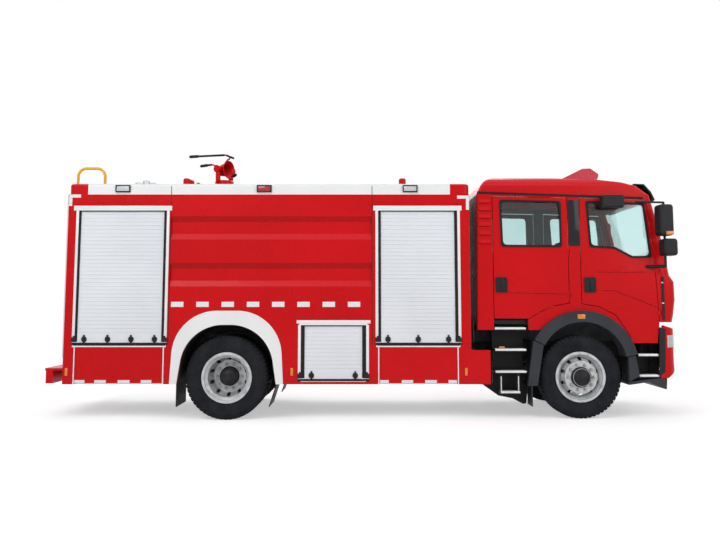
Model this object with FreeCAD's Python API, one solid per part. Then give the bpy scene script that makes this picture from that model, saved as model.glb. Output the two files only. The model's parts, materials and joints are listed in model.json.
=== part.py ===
import FreeCAD, Part
import math
import os

# A two-axle fire engine with a crew cab, a shuttered body and a roof monitor, at full size
# in millimetres. +X is forward, +Y is the left-hand side and +Z is up. The origin is on the
# ground, half-way along the length and on the centre line.

V = FreeCAD.Vector
ORIGIN = V(0, 0, 0)
X_AXIS = V(1, 0, 0)
Y_AXIS = V(0, 1, 0)
Z_AXIS = V(0, 0, 1)
FULL_TURN = 360

# Driving dimensions
wheelbase = 4500
front_overhang = 1300
rear_overhang = 2300
front_axle_x = (wheelbase + rear_overhang - front_overhang) / 2
rear_axle_x = front_axle_x - wheelbase
overrun = 60
seat_gap = 0.3
pin_gap = 0.05
joint_gap = 7

# Wheels
tyre_radius = 522
tyre_half_width = 147
tyre_bulge_radius = 425
tyre_shoulder_radius = 498
tyre_tread_half_width = 112
tyre_shoulder_half_width = 130
tyre_swell = 5
rim_half_width = 130
rim_lip = 14
rim_flange_radius = 318
rim_seat_radius = 298
rim_seat_half_width = 88
rim_well_radius = 262
rim_well_half_width = 60
rim_wall = 12
disc_wall = 14
disc_face_radius = 206
disc_cone_start = 40
hand_hole_count = 10
hand_hole_radius = 24
hand_hole_circle = 228
front_wheel_y = 972
front_disc_offset = 146
front_hub_nose_radius = 112
front_hub_nose_length = 58
hub_radius = 126
rear_outer_wheel_y = 1087
twin_spacing = 334
rear_hub_nose_radius = 108
rear_hub_nose_length = 150
drum_radius = 205
drum_length = 150

# Chassis frame
rail_half_width = 430
rail_height = 260
rail_flange = 75
rail_wall = 10
rail_bottom_z = 680
rail_top_z = rail_bottom_z + rail_height
rail_front_x = front_axle_x + 920
rail_rear_x = rear_axle_x - 2060
crossmember_radius = 55
crossmember_count = 6
cab_pivot_x = front_axle_x + 1170
cab_pivot_z = 1100
cab_pivot_radius = 22
cab_pivot_lug = 60

# Axles and steering
kingpin_y = 856
kingpin_radius = 24
kingpin_boss_radius = 44
kingpin_gap = 1
beam_height = 110
beam_width = 96
beam_drop = 130
beam_straight_y = 560
knuckle_half_height = 118
knuckle_ear = 34
knuckle_width = 100
knuckle_plate_offset = 54
knuckle_plate = 24
stub_radius = 46
stub_tip_clearance = 20
steering_arm_length = 170
steering_arm_radius = 24
steering_arm_drop = 108
tie_rod_radius = 20
tie_rod_eye_radius = 30
tie_rod_eye_height = 50
rear_tube_radius = 78
rear_stub_radius = 60
differential_radius = 200
differential_half_width = 190
drive_shaft_radius = 48
gearbox_end_x = front_axle_x - 1050
spring_width = 90
spring_leaf = 15
spring_leaf_count = 5
spring_half_length = 740
spring_rise = 100
leaf_step_share = 0.15
front_spring_y = 385
rear_spring_y = 500
spring_eye_radius = 26
hanger_wall = 20

# Engine and tanks
engine_length = 1150
engine_half_width = 330
engine_bottom_z = 640
engine_top_z = 1380
engine_front_x = front_axle_x + 700
engine_mount_shares = (0.15, 0.85)
fuel_tank_length = 620
fuel_tank_depth = 200
fuel_tank_height = 420
fuel_tank_x = front_axle_x - 2300
air_tank_radius = 100
air_tank_length = 700

# Fire body
body_rear_x = rear_axle_x - 2065
body_length = 5157
body_front_x = body_rear_x + body_length
body_half_width = 1250
body_bottom_z = 445
body_top_z = 2990
skin = 40
body_floor_z = 1000
floor_thickness = 40
deck_z = body_top_z - 140
deck_thickness = 40
wheelhouse_inner_y = body_half_width - 660
locker_inner_y = body_half_width - 600
locker_wall = 15
edge_rail_width = 60
edge_corner_radius = 70
edge_top_radius = 28
white_rail_rear_inset = 243
white_rail_front_inset = 247
rear_seam_x = rear_axle_x - 745
front_seam_x = rear_axle_x + 1840
tall_top_z = body_top_z - 349
tall_bottom_z = 1044
rear_bay = (rear_axle_x - 1917, rear_axle_x - 806)
front_bay = (rear_axle_x + 1929, rear_axle_x + 2916)
low_bay = (rear_axle_x + 962, rear_axle_x + 1735)
low_top_z = 1182
low_bottom_z = 593
shutter_bar_height = 92
shutter_recess = 8
shutter_depth = 20
slat_pitch = 49
slat_groove = 5
side_rail_width = 46
side_rail_proud = 12
head_rail_height = 62
head_rail_reach = 74
head_rail_proud = 24
sill_strip_height = 24
flap_bottom_z = 458
flap_top_z = 900
flap_thickness = 34
flap_hinge_radius = 10
arch_flat = 50
arch_radius = 540
arch_top_z = 1186
arch_foot = 627
trim_flat = 130
trim_radius = 566
trim_top_z = 1363
trim_foot = 716
trim_proud = 16
channel_height = 300
channel_slope = 74
channel_depth = 34
channel_tops_z = (body_top_z - 421, body_top_z - 1020)
tail_length = 241
tail_top_z = 868
mudguard_wall = 8
mudflap_thickness = 12
mudflap_bottom_z = 160
mudflap_width = body_half_width - 650

# Rear end
rear_bumper_depth = 100
rear_bumper_half_width = body_half_width - 50
rear_bumper_bottom_z = 452
rear_bumper_top_z = 612
rear_step_thickness = 30
rear_bay_half_width = 430
rear_bay_bottom_z = 1044
rear_bay_top_z = body_top_z - 430
ladder_outer_y = body_half_width - 240
ladder_inner_y = ladder_outer_y - 410
ladder_standoff = 75
ladder_tube_radius = 19
ladder_rung_radius = 14
ladder_rung_count = 7
ladder_bracket_shares = (0.15, 0.5, 0.95)
ladder_bottom_z = 760
ladder_top_z = body_top_z - 110
hoop_height = 235
hoop_length = 356
hoop_radius = 18
hoop_bend = 110
rear_lamp_width = 110
rear_lamp_height = 380
rear_lamp_depth = 28
rear_lamp_z = 720
rear_lamp_y = body_half_width - 130
marker_width = 34
marker_height = 96
marker_depth = 14
marker_z = 600
band_lamp_length = 190
band_lamp_height = 92
band_lamp_depth = 26
band_lamp_z = body_top_z - 65
band_lamp_xs = (rear_axle_x - 1370, rear_axle_x + 450, rear_axle_x + 2330)

# Deck fittings
hatch_radius = 255
hatch_neck = 90
hatch_lid = 34
hatch_x = rear_axle_x + 900
hatch_y = body_half_width - 690
beacon_radius = 46
beacon_height = 78
beacon_post_radius = 18
beacon_post_height = 70
beacon_xs = (rear_axle_x - 590, rear_axle_x + 2240)
beacon_y = body_half_width - 190

# Monitor: the bell's outline and the levers are distances along the barrel and from its axis
monitor_x = rear_axle_x - 216
monitor_y = -300
monitor_heading = -30
monitor_flange_radius = 135
monitor_flange_height = 26
monitor_pipe_radius = 62
monitor_swivel_z = body_top_z + 60
monitor_swivel_radius = 130
monitor_swivel_height = 104
monitor_swivel_edge = 12
monitor_spigot_radius = 40
monitor_spigot_height = 60
monitor_tilt_z = monitor_swivel_z + 260
monitor_fork_half_width = 142
monitor_fork_radius = 34
monitor_fork_bend = 70
monitor_boss_radius = 52
monitor_boss_half_width = 37
monitor_pin_radius = 22
monitor_bell_outside = ((-110, 62), (-101, 72), (56, 99), (66, 117), (75, 128))
monitor_bell_inside = ((75, 119), (66, 106), (54, 87), (-40, 52))
monitor_lever_radius = 11
monitor_lever_points = ((-20, 72), (52, 146), (165, 150), (12, 214), (-515, 238), (-640, 243))
monitor_valve_points = ((-90, 48), (-225, 96), (-433, 90))

# Cab: each level gives height, rear x, front x on the centre line, and half width
cab_half_width = 1130
cab_wall = 50
cab_floor_z = 1240
cab_floor_thickness = 50
cab_rear_bottom_z = 1118
cab_bow = 38
cab_corner = 110
cab_rear_corner = 36
gutter_z = 2862
cab_levels = (
    (951, front_axle_x - 1319, front_axle_x + 1200, cab_half_width),
    (1215, front_axle_x - 1319, front_axle_x + 1250, cab_half_width),
    (1300, front_axle_x - 1318, front_axle_x + 1270, cab_half_width),
    (1498, front_axle_x - 1316, front_axle_x + 1300, cab_half_width),
    (1731, front_axle_x - 1313, front_axle_x + 1296, cab_half_width),
    (1815, front_axle_x - 1312, front_axle_x + 1240, cab_half_width),
    (2412, front_axle_x - 1305, front_axle_x + 1133, cab_half_width),
    (gutter_z, front_axle_x - 1300, front_axle_x + 1017, cab_half_width),
    (2985, front_axle_x - 1240, front_axle_x + 862, cab_half_width - 18),
    (3035, front_axle_x - 1205, front_axle_x + 690, cab_half_width - 46),
    (3070, front_axle_x - 1165, front_axle_x + 425, cab_half_width - 82),
    (3096, front_axle_x - 1105, front_axle_x - 140, cab_half_width - 140),
    (3110, front_axle_x - 1000, front_axle_x - 600, cab_half_width - 250),
)
cab_arch_x = front_axle_x + 30
cab_arch_z = 665
cab_arch_radius = 660
wheelhouse_wall = 30
tunnel_half_width = 430
tunnel_top_z = 1500
tunnel_rear_x = engine_front_x - engine_length - 120
windscreen_bottom_z = 1900
windscreen_top_z = 2800
windscreen_side_inset = 125
windscreen_thickness = 12
glass_thickness = 8
glass_inset = 14

# Doors: corners as distances from the front axle and heights
door_gap = 8
door_hinge_proud = 2
hinge_pin_radius = 5
hinge_barrel_radius = 8
hinge_height = 60
rear_door_points = (
    (-1090, 2836), (-126, 2818), (-126, 1462), (-330, 1425), (-500, 1350), (-650, 1262), (-1090, 1262),
)
front_door_points = (
    (40, 2816), (900, 2788), (985, 2050), (1022, 1190), (990, 951), (680, 951), (634, 1060),
    (470, 1310), (250, 1420), (40, 1452),
)
rear_window_points = ((-992, 2786), (-218, 2770), (-214, 2190), (-976, 2196))
front_window_points = ((132, 2770), (868, 2744), (940, 2051), (697, 2051), (479, 2169), (167, 2189))
rear_door_hinge_x = front_axle_x - 118
front_door_hinge_x = front_axle_x + 1040

# Cab fenders and steps
fender_outer_radius = 700
fender_inner_radius = 556
fender_wall = 18
fender_outer_y = cab_half_width + 48
fender_inner_y = cab_half_width - 270
fender_rear_angle = 152
fender_front_angle = 12
lower_fender_rear_points = ((-605, 985), (-478, 925), (-565, 417), (-687, 417))
lower_fender_front_points = ((598, 776), (690, 795), (733, 537), (602, 474))
step_zs = (1146, 876, 600)
step_recess_depth = 100
skirt_arm_width = 36
skirt_arm_z = 700
rear_skirt_arm_x = front_axle_x - 625
front_skirt_arm_x = front_axle_x + 640
fender_skin = 52
mudguard_rear_points = ((-605, 985), (-560, 960), (-604, 600), (-604, 417), (-687, 417))
front_mudflap_bottom_z = 160
front_mudflap_x = front_axle_x - 640
step_x0 = front_axle_x - 1090
step_x1 = front_axle_x - 690
step_thickness = 34
step_inner_y = cab_half_width - 250
step_outer_y = cab_half_width
step_post_width = 40
folding_step_x0 = front_axle_x - 1030
folding_step_x1 = front_axle_x - 775
folding_step_z = 310
front_step_zs = (810, 550)
step_plate_points = (
    (-1090, 1146), (-1090, 430), (-1314, 430), (-1218, 405), (-1020, 267), (-835, 231),
    (-701, 160), (-659, 169), (-647, 273), (-647, 410), (-694, 410), (-694, 1146),
)
front_step_x0 = front_axle_x + 735
front_step_x1 = front_axle_x + 1000

# Front bumper
bumper_rear_top_x = front_axle_x + 1061
bumper_rear_bottom_x = front_axle_x + 1010
bumper_front_x = front_axle_x + front_overhang
bumper_top_z = 1110
bumper_side_top_z = 1176
bumper_bottom_z = 512
bumper_half_width = cab_half_width + 20
bumper_wall = 60
bumper_corner = 190
bumper_bow = 60
headlamp_half_height = 95
headlamp_width = 330
headlamp_y = bumper_half_width - 250
headlamp_z = 770
headlamp_depth = 40
bumper_chamfer = ((1110, 512), (1300, 640))
lip_points = (
    (600, 464), (605, 426), (742, 445), (846, 464), (985, 407), (1080, 369), (1092, 512), (1012, 512),
)
lip_half_width = bumper_half_width - 10

# Cab fittings
seat_width = 470
seat_base_inset = 105
seat_depth = 520
seat_cushion = 130
seat_z = 1560
seat_back_height = 620
seat_back_thickness = 130
seat_back_share = 0.6
rear_headrest_share = 0.7
headrest_height = 190
headrest_width = 280
front_seat_x = front_axle_x + 180
rear_seat_x = front_axle_x - 1155
front_seat_y = 685
rear_bench_half_width = cab_half_width - 150
dash_depth = 360
dash_top_z = 1980
dash_bottom_z = 1530
steering_wheel_radius = 225
steering_wheel_tube = 16
steering_wheel_tilt = 32
visor_thickness = 14
visor_points = ((795, 3022), (927, 3016), (1016, 2915), (1065, 2809))
visor_bracket_share = 0.72
visor_bracket_reach = 110
grille_half_width = 700
grille_bottom_z = 1262
grille_top_z = 1700
grille_back_proud = 8
grille_slat_proud = 30
grille_slat_height = 44
grille_slat_count = 5
light_bar_half_length = cab_half_width - 300
light_bar_x = front_axle_x + 126
light_bar_points = ((-235, 3105), (-235, 3112), (43, 3249), (152, 3254), (264, 3173), (241, 3105))
light_bar_crown = 30
light_bar_foot = (20, 200)
light_bar_foot_width = 90
light_bar_foot_share = 0.72
light_bar_foot_depth = 90
mirror_depth = 182
mirror_width = 230
mirror_height = 397
mirror_x = front_axle_x + 1054
mirror_z = 2506
low_mirror_height = 216
low_mirror_x = front_axle_x + 1094
low_mirror_z = 2162
mirror_y = cab_half_width + 225
mirror_arm_radius = 16
mirror_top_arm_radius = 13
mirror_foot_radius = 22
mirror_round = 40
mirror_post_x = front_axle_x + 1074
mirror_foot = (front_axle_x + 870, 1925)
mirror_top_arm = (front_axle_x + 750, 2771)
mirror_post_top_z = 2742
kerb_mirror_x = front_axle_x + 291
kerb_mirror_width = 280
kerb_mirror_height = 160
kerb_mirror_depth = 150
kerb_mirror_z = 2760
kerb_mirror_arm_z = 2781


def box(x0, x1, y0, y1, z0, z1):
    return Part.makeBox(x1 - x0, y1 - y0, z1 - z0, V(x0, y0, z0))


def cylinder(radius, start, direction, length):
    return Part.makeCylinder(radius, length, start, direction)


def tube_between(radius, a, b):
    return Part.makeCylinder(radius, (b - a).Length, a, b - a)


def face_of(points):
    return Part.Face(Part.makePolygon(points + [points[0]]))


def side_prism(points, y0, y1):
    # A flat outline in the side view, given as (x, z), between two widths.
    return face_of([V(x, y0, z) for x, z in points]).extrude(V(0, y1 - y0, 0))


def end_prism(points, x0, x1):
    # A flat outline in the end view, given as (y, z), between two stations.
    return face_of([V(x0, y, z) for y, z in points]).extrude(V(x1 - x0, 0, 0))


def fuse(shapes):
    joined = shapes[0].fuse(shapes[1:]) if len(shapes) > 1 else shapes[0]
    return joined.removeSplitter()


def mirrored(shape):
    return shape.mirror(ORIGIN, Y_AXIS)


def both_sides(shapes):
    return list(shapes) + [mirrored(shape) for shape in shapes]


def revolved_about_y(outline, centre_x, centre_y, centre_z):
    # The outline is a wire drawn with x as the radius and y as the width.
    solid = Part.Face(outline).revolve(ORIGIN, Y_AXIS, FULL_TURN)
    solid.translate(V(centre_x, centre_y, centre_z))
    return solid


def flat_wire(points):
    return Part.makePolygon([V(r, y, 0) for r, y in points] + [V(points[0][0], points[0][1], 0)])


# Wheels

def tyre(centre_x, centre_y):
    # Sidewalls that widen from the beads, shoulders that slope in, and a flat tread.
    bead = rim_half_width - rim_lip - seat_gap
    half = [
        (rim_seat_radius, bead), (rim_flange_radius + seat_gap, bead),
        ((rim_flange_radius + tyre_bulge_radius) / 2, (bead + tyre_half_width) / 2 + tyre_swell),
        (tyre_bulge_radius, tyre_half_width), (tyre_shoulder_radius, tyre_shoulder_half_width),
        (tyre_radius, tyre_tread_half_width),
    ]
    outline = half + [(r, -y) for r, y in reversed(half)]
    return revolved_about_y(flat_wire(outline), centre_x, centre_y, tyre_radius)


def rim_ring(centre_x, centre_y):
    seat = rim_seat_radius - seat_gap
    side = rim_half_width
    inside = side - rim_lip
    half = [
        (seat, inside), (rim_flange_radius, inside), (rim_flange_radius, side),
        (seat - rim_wall, side), (seat - rim_wall, rim_seat_half_width),
        (rim_well_radius - rim_wall, rim_well_half_width),
    ]
    outline = [(rim_well_radius, rim_well_half_width), (seat, rim_seat_half_width)] + half
    outline += [(r, -y) for r, y in reversed(outline)]
    return revolved_about_y(flat_wire(outline), centre_x, centre_y, tyre_radius)


def wheel_disc(centre_x, centre_y, side, offset):
    # A dished disc: a cone from the rim's well to a flat face, pierced by hand holes.
    well = rim_well_radius - rim_wall
    start = math.copysign(disc_cone_start, offset)
    wall = math.copysign(disc_wall, offset)
    outline = [
        (hub_radius - rim_wall, offset), (disc_face_radius, offset), (well + seat_gap, start),
        (well + seat_gap, start - wall - rim_wall), (disc_face_radius, offset - wall),
        (hub_radius - rim_wall, offset - wall),
    ]
    disc = revolved_about_y(flat_wire([(r, side * y) for r, y in outline]),
                            centre_x, centre_y, tyre_radius)
    holes = []
    for index in range(hand_hole_count):
        angle = 2 * math.pi * (index + 0.5) / hand_hole_count
        place = V(centre_x + hand_hole_circle * math.cos(angle), centre_y - rim_half_width * 2,
                  tyre_radius + hand_hole_circle * math.sin(angle))
        holes.append(cylinder(hand_hole_radius, place, Y_AXIS, rim_half_width * 4))
    return disc.cut(holes)


def turned_hub(centre_x, side, outline):
    # Outline as (radius, distance out from the centre line).
    return revolved_about_y(flat_wire([(r, side * y) for r, y in outline]), centre_x, 0, tyre_radius)


def front_rim(side):
    centre_y = side * front_wheel_y
    face = front_wheel_y + front_disc_offset
    bore = stub_radius + pin_gap
    drum_start = kingpin_y + knuckle_plate_offset + knuckle_plate + joint_gap
    hub = [
        (bore, drum_start), (drum_radius, drum_start), (drum_radius, drum_start + drum_length),
        (hub_radius, drum_start + drum_length), (hub_radius, face),
        (front_hub_nose_radius, face), (front_hub_nose_radius, face + front_hub_nose_length),
        (0, face + front_hub_nose_length), (0, face), (bore, face),
    ]
    return [fuse([rim_ring(front_axle_x, centre_y),
                  wheel_disc(front_axle_x, centre_y, side, front_disc_offset),
                  turned_hub(front_axle_x, side, hub)])]


def rear_rims(side):
    outer = rear_outer_wheel_y
    inner = outer - twin_spacing
    face = (outer + inner) / 2
    bore = rear_stub_radius + pin_gap
    drum_start = face - disc_wall - drum_length
    hub = [
        (bore, drum_start), (drum_radius, drum_start), (drum_radius, face - disc_wall),
        (hub_radius, face - disc_wall), (hub_radius, face + disc_wall),
        (rear_hub_nose_radius, face + disc_wall), (rear_hub_nose_radius, face + rear_hub_nose_length),
        (0, face + rear_hub_nose_length), (0, face + rear_hub_nose_length - rim_lip),
        (bore, face + rear_hub_nose_length - rim_lip),
    ]
    pieces = [turned_hub(rear_axle_x, side, hub)]
    for wheel_y, offset in ((outer, face - outer), (inner, face - inner)):
        pieces.append(rim_ring(rear_axle_x, side * wheel_y))
        pieces.append(wheel_disc(rear_axle_x, side * wheel_y, side, offset))
    return [fuse(pieces)]


def front_tyre(side):
    return [tyre(front_axle_x, side * front_wheel_y)]


def rear_tyres(side):
    return [tyre(rear_axle_x, side * rear_outer_wheel_y),
            tyre(rear_axle_x, side * (rear_outer_wheel_y - twin_spacing))]


# Axles, springs and steering

def front_axle_beam():
    low = tyre_radius - beam_drop
    half = beam_height / 2
    eye = kingpin_y - kingpin_boss_radius / 2
    points = [
        (-eye, tyre_radius + half), (-eye, tyre_radius - half), (-beam_straight_y, low - half),
        (beam_straight_y, low - half), (eye, tyre_radius - half), (eye, tyre_radius + half),
        (beam_straight_y, low + half), (-beam_straight_y, low + half),
    ]
    beam = end_prism(points, front_axle_x - beam_width / 2, front_axle_x + beam_width / 2)
    boss_half = knuckle_half_height - knuckle_ear - kingpin_gap
    pieces = [beam]
    for side in (-1, 1):
        foot = V(front_axle_x, side * kingpin_y, tyre_radius)
        pieces.append(cylinder(kingpin_boss_radius, foot - V(0, 0, boss_half), Z_AXIS, 2 * boss_half))
        pieces.append(cylinder(kingpin_radius, foot - V(0, 0, knuckle_half_height), Z_AXIS,
                               2 * knuckle_half_height))
    return [fuse(pieces)]


def knuckle(side):
    # Two ears round the kingpin, a back plate, the stub for the hub and the steering arm.
    centre = V(front_axle_x, side * kingpin_y, tyre_radius)
    half_width = knuckle_width / 2
    plate_y = knuckle_plate_offset
    ear = box(-half_width, half_width, -half_width, plate_y + knuckle_plate / 2, 0, knuckle_ear)
    pieces = []
    for z in (knuckle_half_height - knuckle_ear, -knuckle_half_height):
        lug = ear.copy()
        lug.translate(V(0, 0, z))
        pieces.append(lug)
    pieces.append(box(-half_width, half_width, plate_y, plate_y + knuckle_plate,
                      -knuckle_half_height, knuckle_half_height))
    stub_length = front_wheel_y + front_disc_offset - kingpin_y - plate_y - stub_tip_clearance
    pieces.append(cylinder(stub_radius, V(0, plate_y, 0), Y_AXIS, stub_length))
    arm_end = V(-steering_arm_length, 0, -steering_arm_drop)
    pad = steering_arm_radius
    pieces.append(box(-steering_arm_length, -half_width / 2, arm_end.y - pad, arm_end.y + pad,
                      -steering_arm_drop - pad, -steering_arm_drop + pad))
    pieces.append(cylinder(pad, arm_end - V(0, 0, pad), Z_AXIS, 2 * pad))
    body = fuse(pieces)
    pin_hole = cylinder(kingpin_radius + pin_gap, V(0, 0, -2 * knuckle_half_height), Z_AXIS,
                        4 * knuckle_half_height)
    body = body.cut(pin_hole)
    if side < 0:
        body = mirrored(body)
    body.translate(centre)
    return [body]


def tie_rod():
    # Runs behind the beam, from one steering arm's underside to the other's.
    reach = kingpin_y
    x = front_axle_x - steering_arm_length
    z = tyre_radius - steering_arm_drop - steering_arm_radius - tie_rod_eye_height - seat_gap
    rod = tube_between(tie_rod_radius, V(x, -reach, z + tie_rod_eye_height / 2),
                       V(x, reach, z + tie_rod_eye_height / 2))
    eyes = [cylinder(tie_rod_eye_radius, V(x, side * reach, z), Z_AXIS, tie_rod_eye_height)
            for side in (-1, 1)]
    return [fuse([rod] + eyes)]


def drive_axle():
    # Axle tube with its stubs, the differential, and the shaft from the gearbox.
    centre = V(rear_axle_x, 0, tyre_radius)
    face = rear_outer_wheel_y - twin_spacing / 2
    tube_end = face - disc_wall - drum_length - joint_gap
    stub_end = face + rear_hub_nose_length - rim_lip - stub_tip_clearance
    pieces = [cylinder(rear_tube_radius, centre - V(0, tube_end, 0), Y_AXIS, 2 * tube_end),
              cylinder(rear_stub_radius, centre - V(0, stub_end, 0), Y_AXIS, 2 * stub_end)]
    outline = [
        (0, -differential_half_width), (rear_tube_radius * 1.3, -differential_half_width),
        (differential_radius, -differential_half_width / 3), (differential_radius, differential_half_width / 3),
        (rear_tube_radius * 1.3, differential_half_width), (0, differential_half_width),
    ]
    pieces.append(revolved_about_y(flat_wire(outline), rear_axle_x, 0, tyre_radius))
    shaft_z = rail_bottom_z
    pieces.append(tube_between(drive_shaft_radius, centre, V(gearbox_end_x - joint_gap, 0, shaft_z)))
    return [fuse(pieces)]


def leaf_pack(x, y, pad_z):
    # Leaves stacked over the axle, each shorter than the one above, all curved upwards.
    leaves = []
    for index in range(spring_leaf_count):
        half = spring_half_length * (1 - leaf_step_share * index)
        z = pad_z + spring_leaf * (spring_leaf_count - 1 - index)
        rise = spring_rise * (half / spring_half_length) ** 2
        low = [V(x - half, y, z + rise), V(x, y, z), V(x + half, y, z + rise)]
        high = [point + V(0, 0, spring_leaf) for point in low]
        wire = Part.Wire([
            Part.Arc(low[0], low[1], low[2]).toShape(), Part.makeLine(low[2], high[2]),
            Part.Arc(high[2], high[1], high[0]).toShape(), Part.makeLine(high[0], low[0]),
        ])
        leaves.append(Part.Face(wire).extrude(V(0, spring_width, 0)))
    return leaves


def spring_set(axle_x, centre_y, pad_z, hanger_y0, hanger_y1):
    top = pad_z + spring_leaf * spring_leaf_count
    pieces = leaf_pack(axle_x, centre_y - spring_width / 2, pad_z)
    eye_z = top + spring_rise
    for end in (-1, 1):
        x = axle_x + end * spring_half_length
        pieces.append(cylinder(spring_eye_radius, V(x, centre_y - spring_width / 2, eye_z), Y_AXIS,
                               spring_width))
        pieces.append(box(x - hanger_wall * 2, x + hanger_wall * 2, hanger_y0, hanger_y1,
                          eye_z - spring_eye_radius, rail_bottom_z if hanger_y1 <= rail_half_width
                          else rail_bottom_z + rail_height / 3))
    return fuse(pieces)


def leaf_springs():
    front_pad = tyre_radius - beam_drop + beam_height / 2
    rear_pad = tyre_radius + rear_tube_radius
    front = spring_set(front_axle_x, front_spring_y, front_pad,
                       front_spring_y - spring_width / 2, rail_half_width)
    rear = spring_set(rear_axle_x, rear_spring_y, rear_pad, rail_half_width,
                      rear_spring_y + spring_width / 2)
    return both_sides([front, rear])


# Chassis

def rail_channel():
    web = box(rail_rear_x, rail_front_x, rail_half_width - rail_wall, rail_half_width,
              rail_bottom_z, rail_top_z)
    low = box(rail_rear_x, rail_front_x, rail_half_width - rail_flange, rail_half_width,
              rail_bottom_z, rail_bottom_z + rail_wall)
    high = low.copy()
    high.translate(V(0, 0, rail_height - rail_wall))
    return fuse([web, low, high])


def chassis_frame():
    rail = rail_channel()
    pieces = [rail, mirrored(rail)]
    reach = rail_half_width - rail_wall / 2
    first = rail_rear_x + 2 * crossmember_radius
    last = gearbox_end_x - 4 * crossmember_radius
    for index in range(crossmember_count):
        x = first + (last - first) * index / (crossmember_count - 1)
        pieces.append(cylinder(crossmember_radius, V(x, -reach, rail_bottom_z + rail_height / 2),
                               Y_AXIS, 2 * reach))
    pieces.append(box(rail_front_x - rail_flange, rail_front_x, -reach, reach,
                      rail_bottom_z, rail_bottom_z + rail_height / 2))
    for side in (-1, 1):
        y0 = side * rail_half_width if side < 0 else rail_half_width - rail_wall
        bracket = side_prism([
            (rail_front_x - 4 * cab_pivot_lug, rail_bottom_z), (rail_front_x, rail_bottom_z),
            (cab_pivot_x + cab_pivot_lug / 2, cab_pivot_z - cab_pivot_lug / 2),
            (cab_pivot_x + cab_pivot_lug / 2, cab_pivot_z + cab_pivot_lug / 2),
            (cab_pivot_x - cab_pivot_lug / 2, cab_pivot_z + cab_pivot_lug / 2),
            (rail_front_x - 4 * cab_pivot_lug, rail_top_z),
        ], y0, y0 + rail_wall)
        pieces.append(bracket)
    frame = fuse(pieces)
    pin = cylinder(cab_pivot_radius, V(cab_pivot_x, -rail_half_width - cab_pivot_lug, cab_pivot_z),
                   Y_AXIS, 2 * (rail_half_width + cab_pivot_lug))
    return [fuse([frame, pin])]


def engine():
    rear_x = engine_front_x - engine_length
    block = box(rear_x, engine_front_x, -engine_half_width, engine_half_width,
                engine_bottom_z, engine_top_z)
    gearbox = box(gearbox_end_x, rear_x, -engine_half_width / 2, engine_half_width / 2,
                  engine_bottom_z, rail_top_z)
    mounts = []
    for share in engine_mount_shares:
        x = rear_x + engine_length * share
        mounts.append(box(x - rail_flange, x + rail_flange, -rail_half_width + rail_flange,
                          rail_half_width - rail_flange, rail_bottom_z + rail_wall,
                          rail_bottom_z + 2 * rail_wall))
    return [fuse([block, gearbox] + mounts)]


def chassis_tanks():
    # Fuel tank on the left rail and an air tank on the right rail, both behind the cab steps.
    tank = box(fuel_tank_x, fuel_tank_x + fuel_tank_length, rail_half_width,
               rail_half_width + fuel_tank_depth, rail_bottom_z - fuel_tank_height / 4,
               rail_bottom_z + fuel_tank_height * 3 / 4)
    tank = tank.makeFillet(fuel_tank_depth / 5, [edge for edge in tank.Edges
                                                 if abs(edge.tangentAt(0).x) > 0.9])
    air = cylinder(air_tank_radius, V(fuel_tank_x, -rail_half_width - air_tank_radius - rail_wall,
                                      rail_bottom_z + rail_height / 2), X_AXIS, air_tank_length)
    strap = box(fuel_tank_x + air_tank_length / 3, fuel_tank_x + air_tank_length * 2 / 3,
                -rail_half_width - air_tank_radius - rail_wall, -rail_half_width,
                rail_bottom_z + rail_height / 2 - rail_wall, rail_bottom_z + rail_height / 2 + rail_wall)
    return [tank, fuse([air, strap])]


# Fire body

def arch_outline(flat, radius, top, foot, bottom):
    # A flat crown, a corner arc each side and legs that splay out to the foot.
    centre_z = top - radius
    run = foot - flat
    fall = bottom - centre_z
    distance = math.hypot(run, fall)
    angle = math.atan2(fall, run) + math.acos(radius / distance)
    middle = (angle + math.pi / 2) / 2

    def on_arc(turn, side):
        return V(rear_axle_x + side * (flat + radius * math.cos(turn)), 0, centre_z + radius * math.sin(turn))

    def foot_at(side):
        return V(rear_axle_x + side * foot, 0, bottom)

    left_top = V(rear_axle_x - flat, 0, top)
    right_top = V(rear_axle_x + flat, 0, top)
    return Part.Wire([
        Part.makeLine(foot_at(-1), on_arc(angle, -1)),
        Part.Arc(on_arc(angle, -1), on_arc(middle, -1), left_top).toShape(),
        Part.makeLine(left_top, right_top),
        Part.Arc(right_top, on_arc(middle, 1), on_arc(angle, 1)).toShape(),
        Part.makeLine(on_arc(angle, 1), foot_at(1)),
        Part.makeLine(foot_at(1), foot_at(-1)),
    ])


def arch_prism(flat, radius, top, foot, bottom, y0, y1):
    solid = Part.Face(arch_outline(flat, radius, top, foot, bottom)).extrude(V(0, y1 - y0, 0))
    solid.translate(V(0, y0, 0))
    return solid


def wheel_arch_hole(y0, y1):
    return arch_prism(arch_flat, arch_radius, arch_top_z, arch_foot + mudguard_wall,
                      body_bottom_z - overrun, y0, y1)


def flap_hinge_y():
    return -body_half_width + flap_hinge_radius


def flap_hinge_z():
    return flap_bottom_z + flap_hinge_radius / 2


def hinge_bore(bay):
    start = V(bay[0] - 2 * flap_hinge_radius, flap_hinge_y(), flap_hinge_z())
    return cylinder(flap_hinge_radius / 2 + pin_gap, start, X_AXIS, bay[1] - bay[0] + 4 * flap_hinge_radius)


def locker_side(x0, x1, bay):
    # Side panel of a locker section, open for the tall shutter and for the flap below it.
    outer = -body_half_width
    panel = box(x0, x1, outer, outer + skin, body_bottom_z, deck_z)
    tall = box(bay[0], bay[1], outer - overrun, outer + skin + overrun,
               tall_bottom_z - shutter_bar_height, tall_top_z)
    low = box(bay[0], bay[1], outer - overrun, outer + skin + overrun,
              body_bottom_z - overrun, flap_top_z + joint_gap)
    return panel.cut([tall, low, hinge_bore(bay)])


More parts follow.
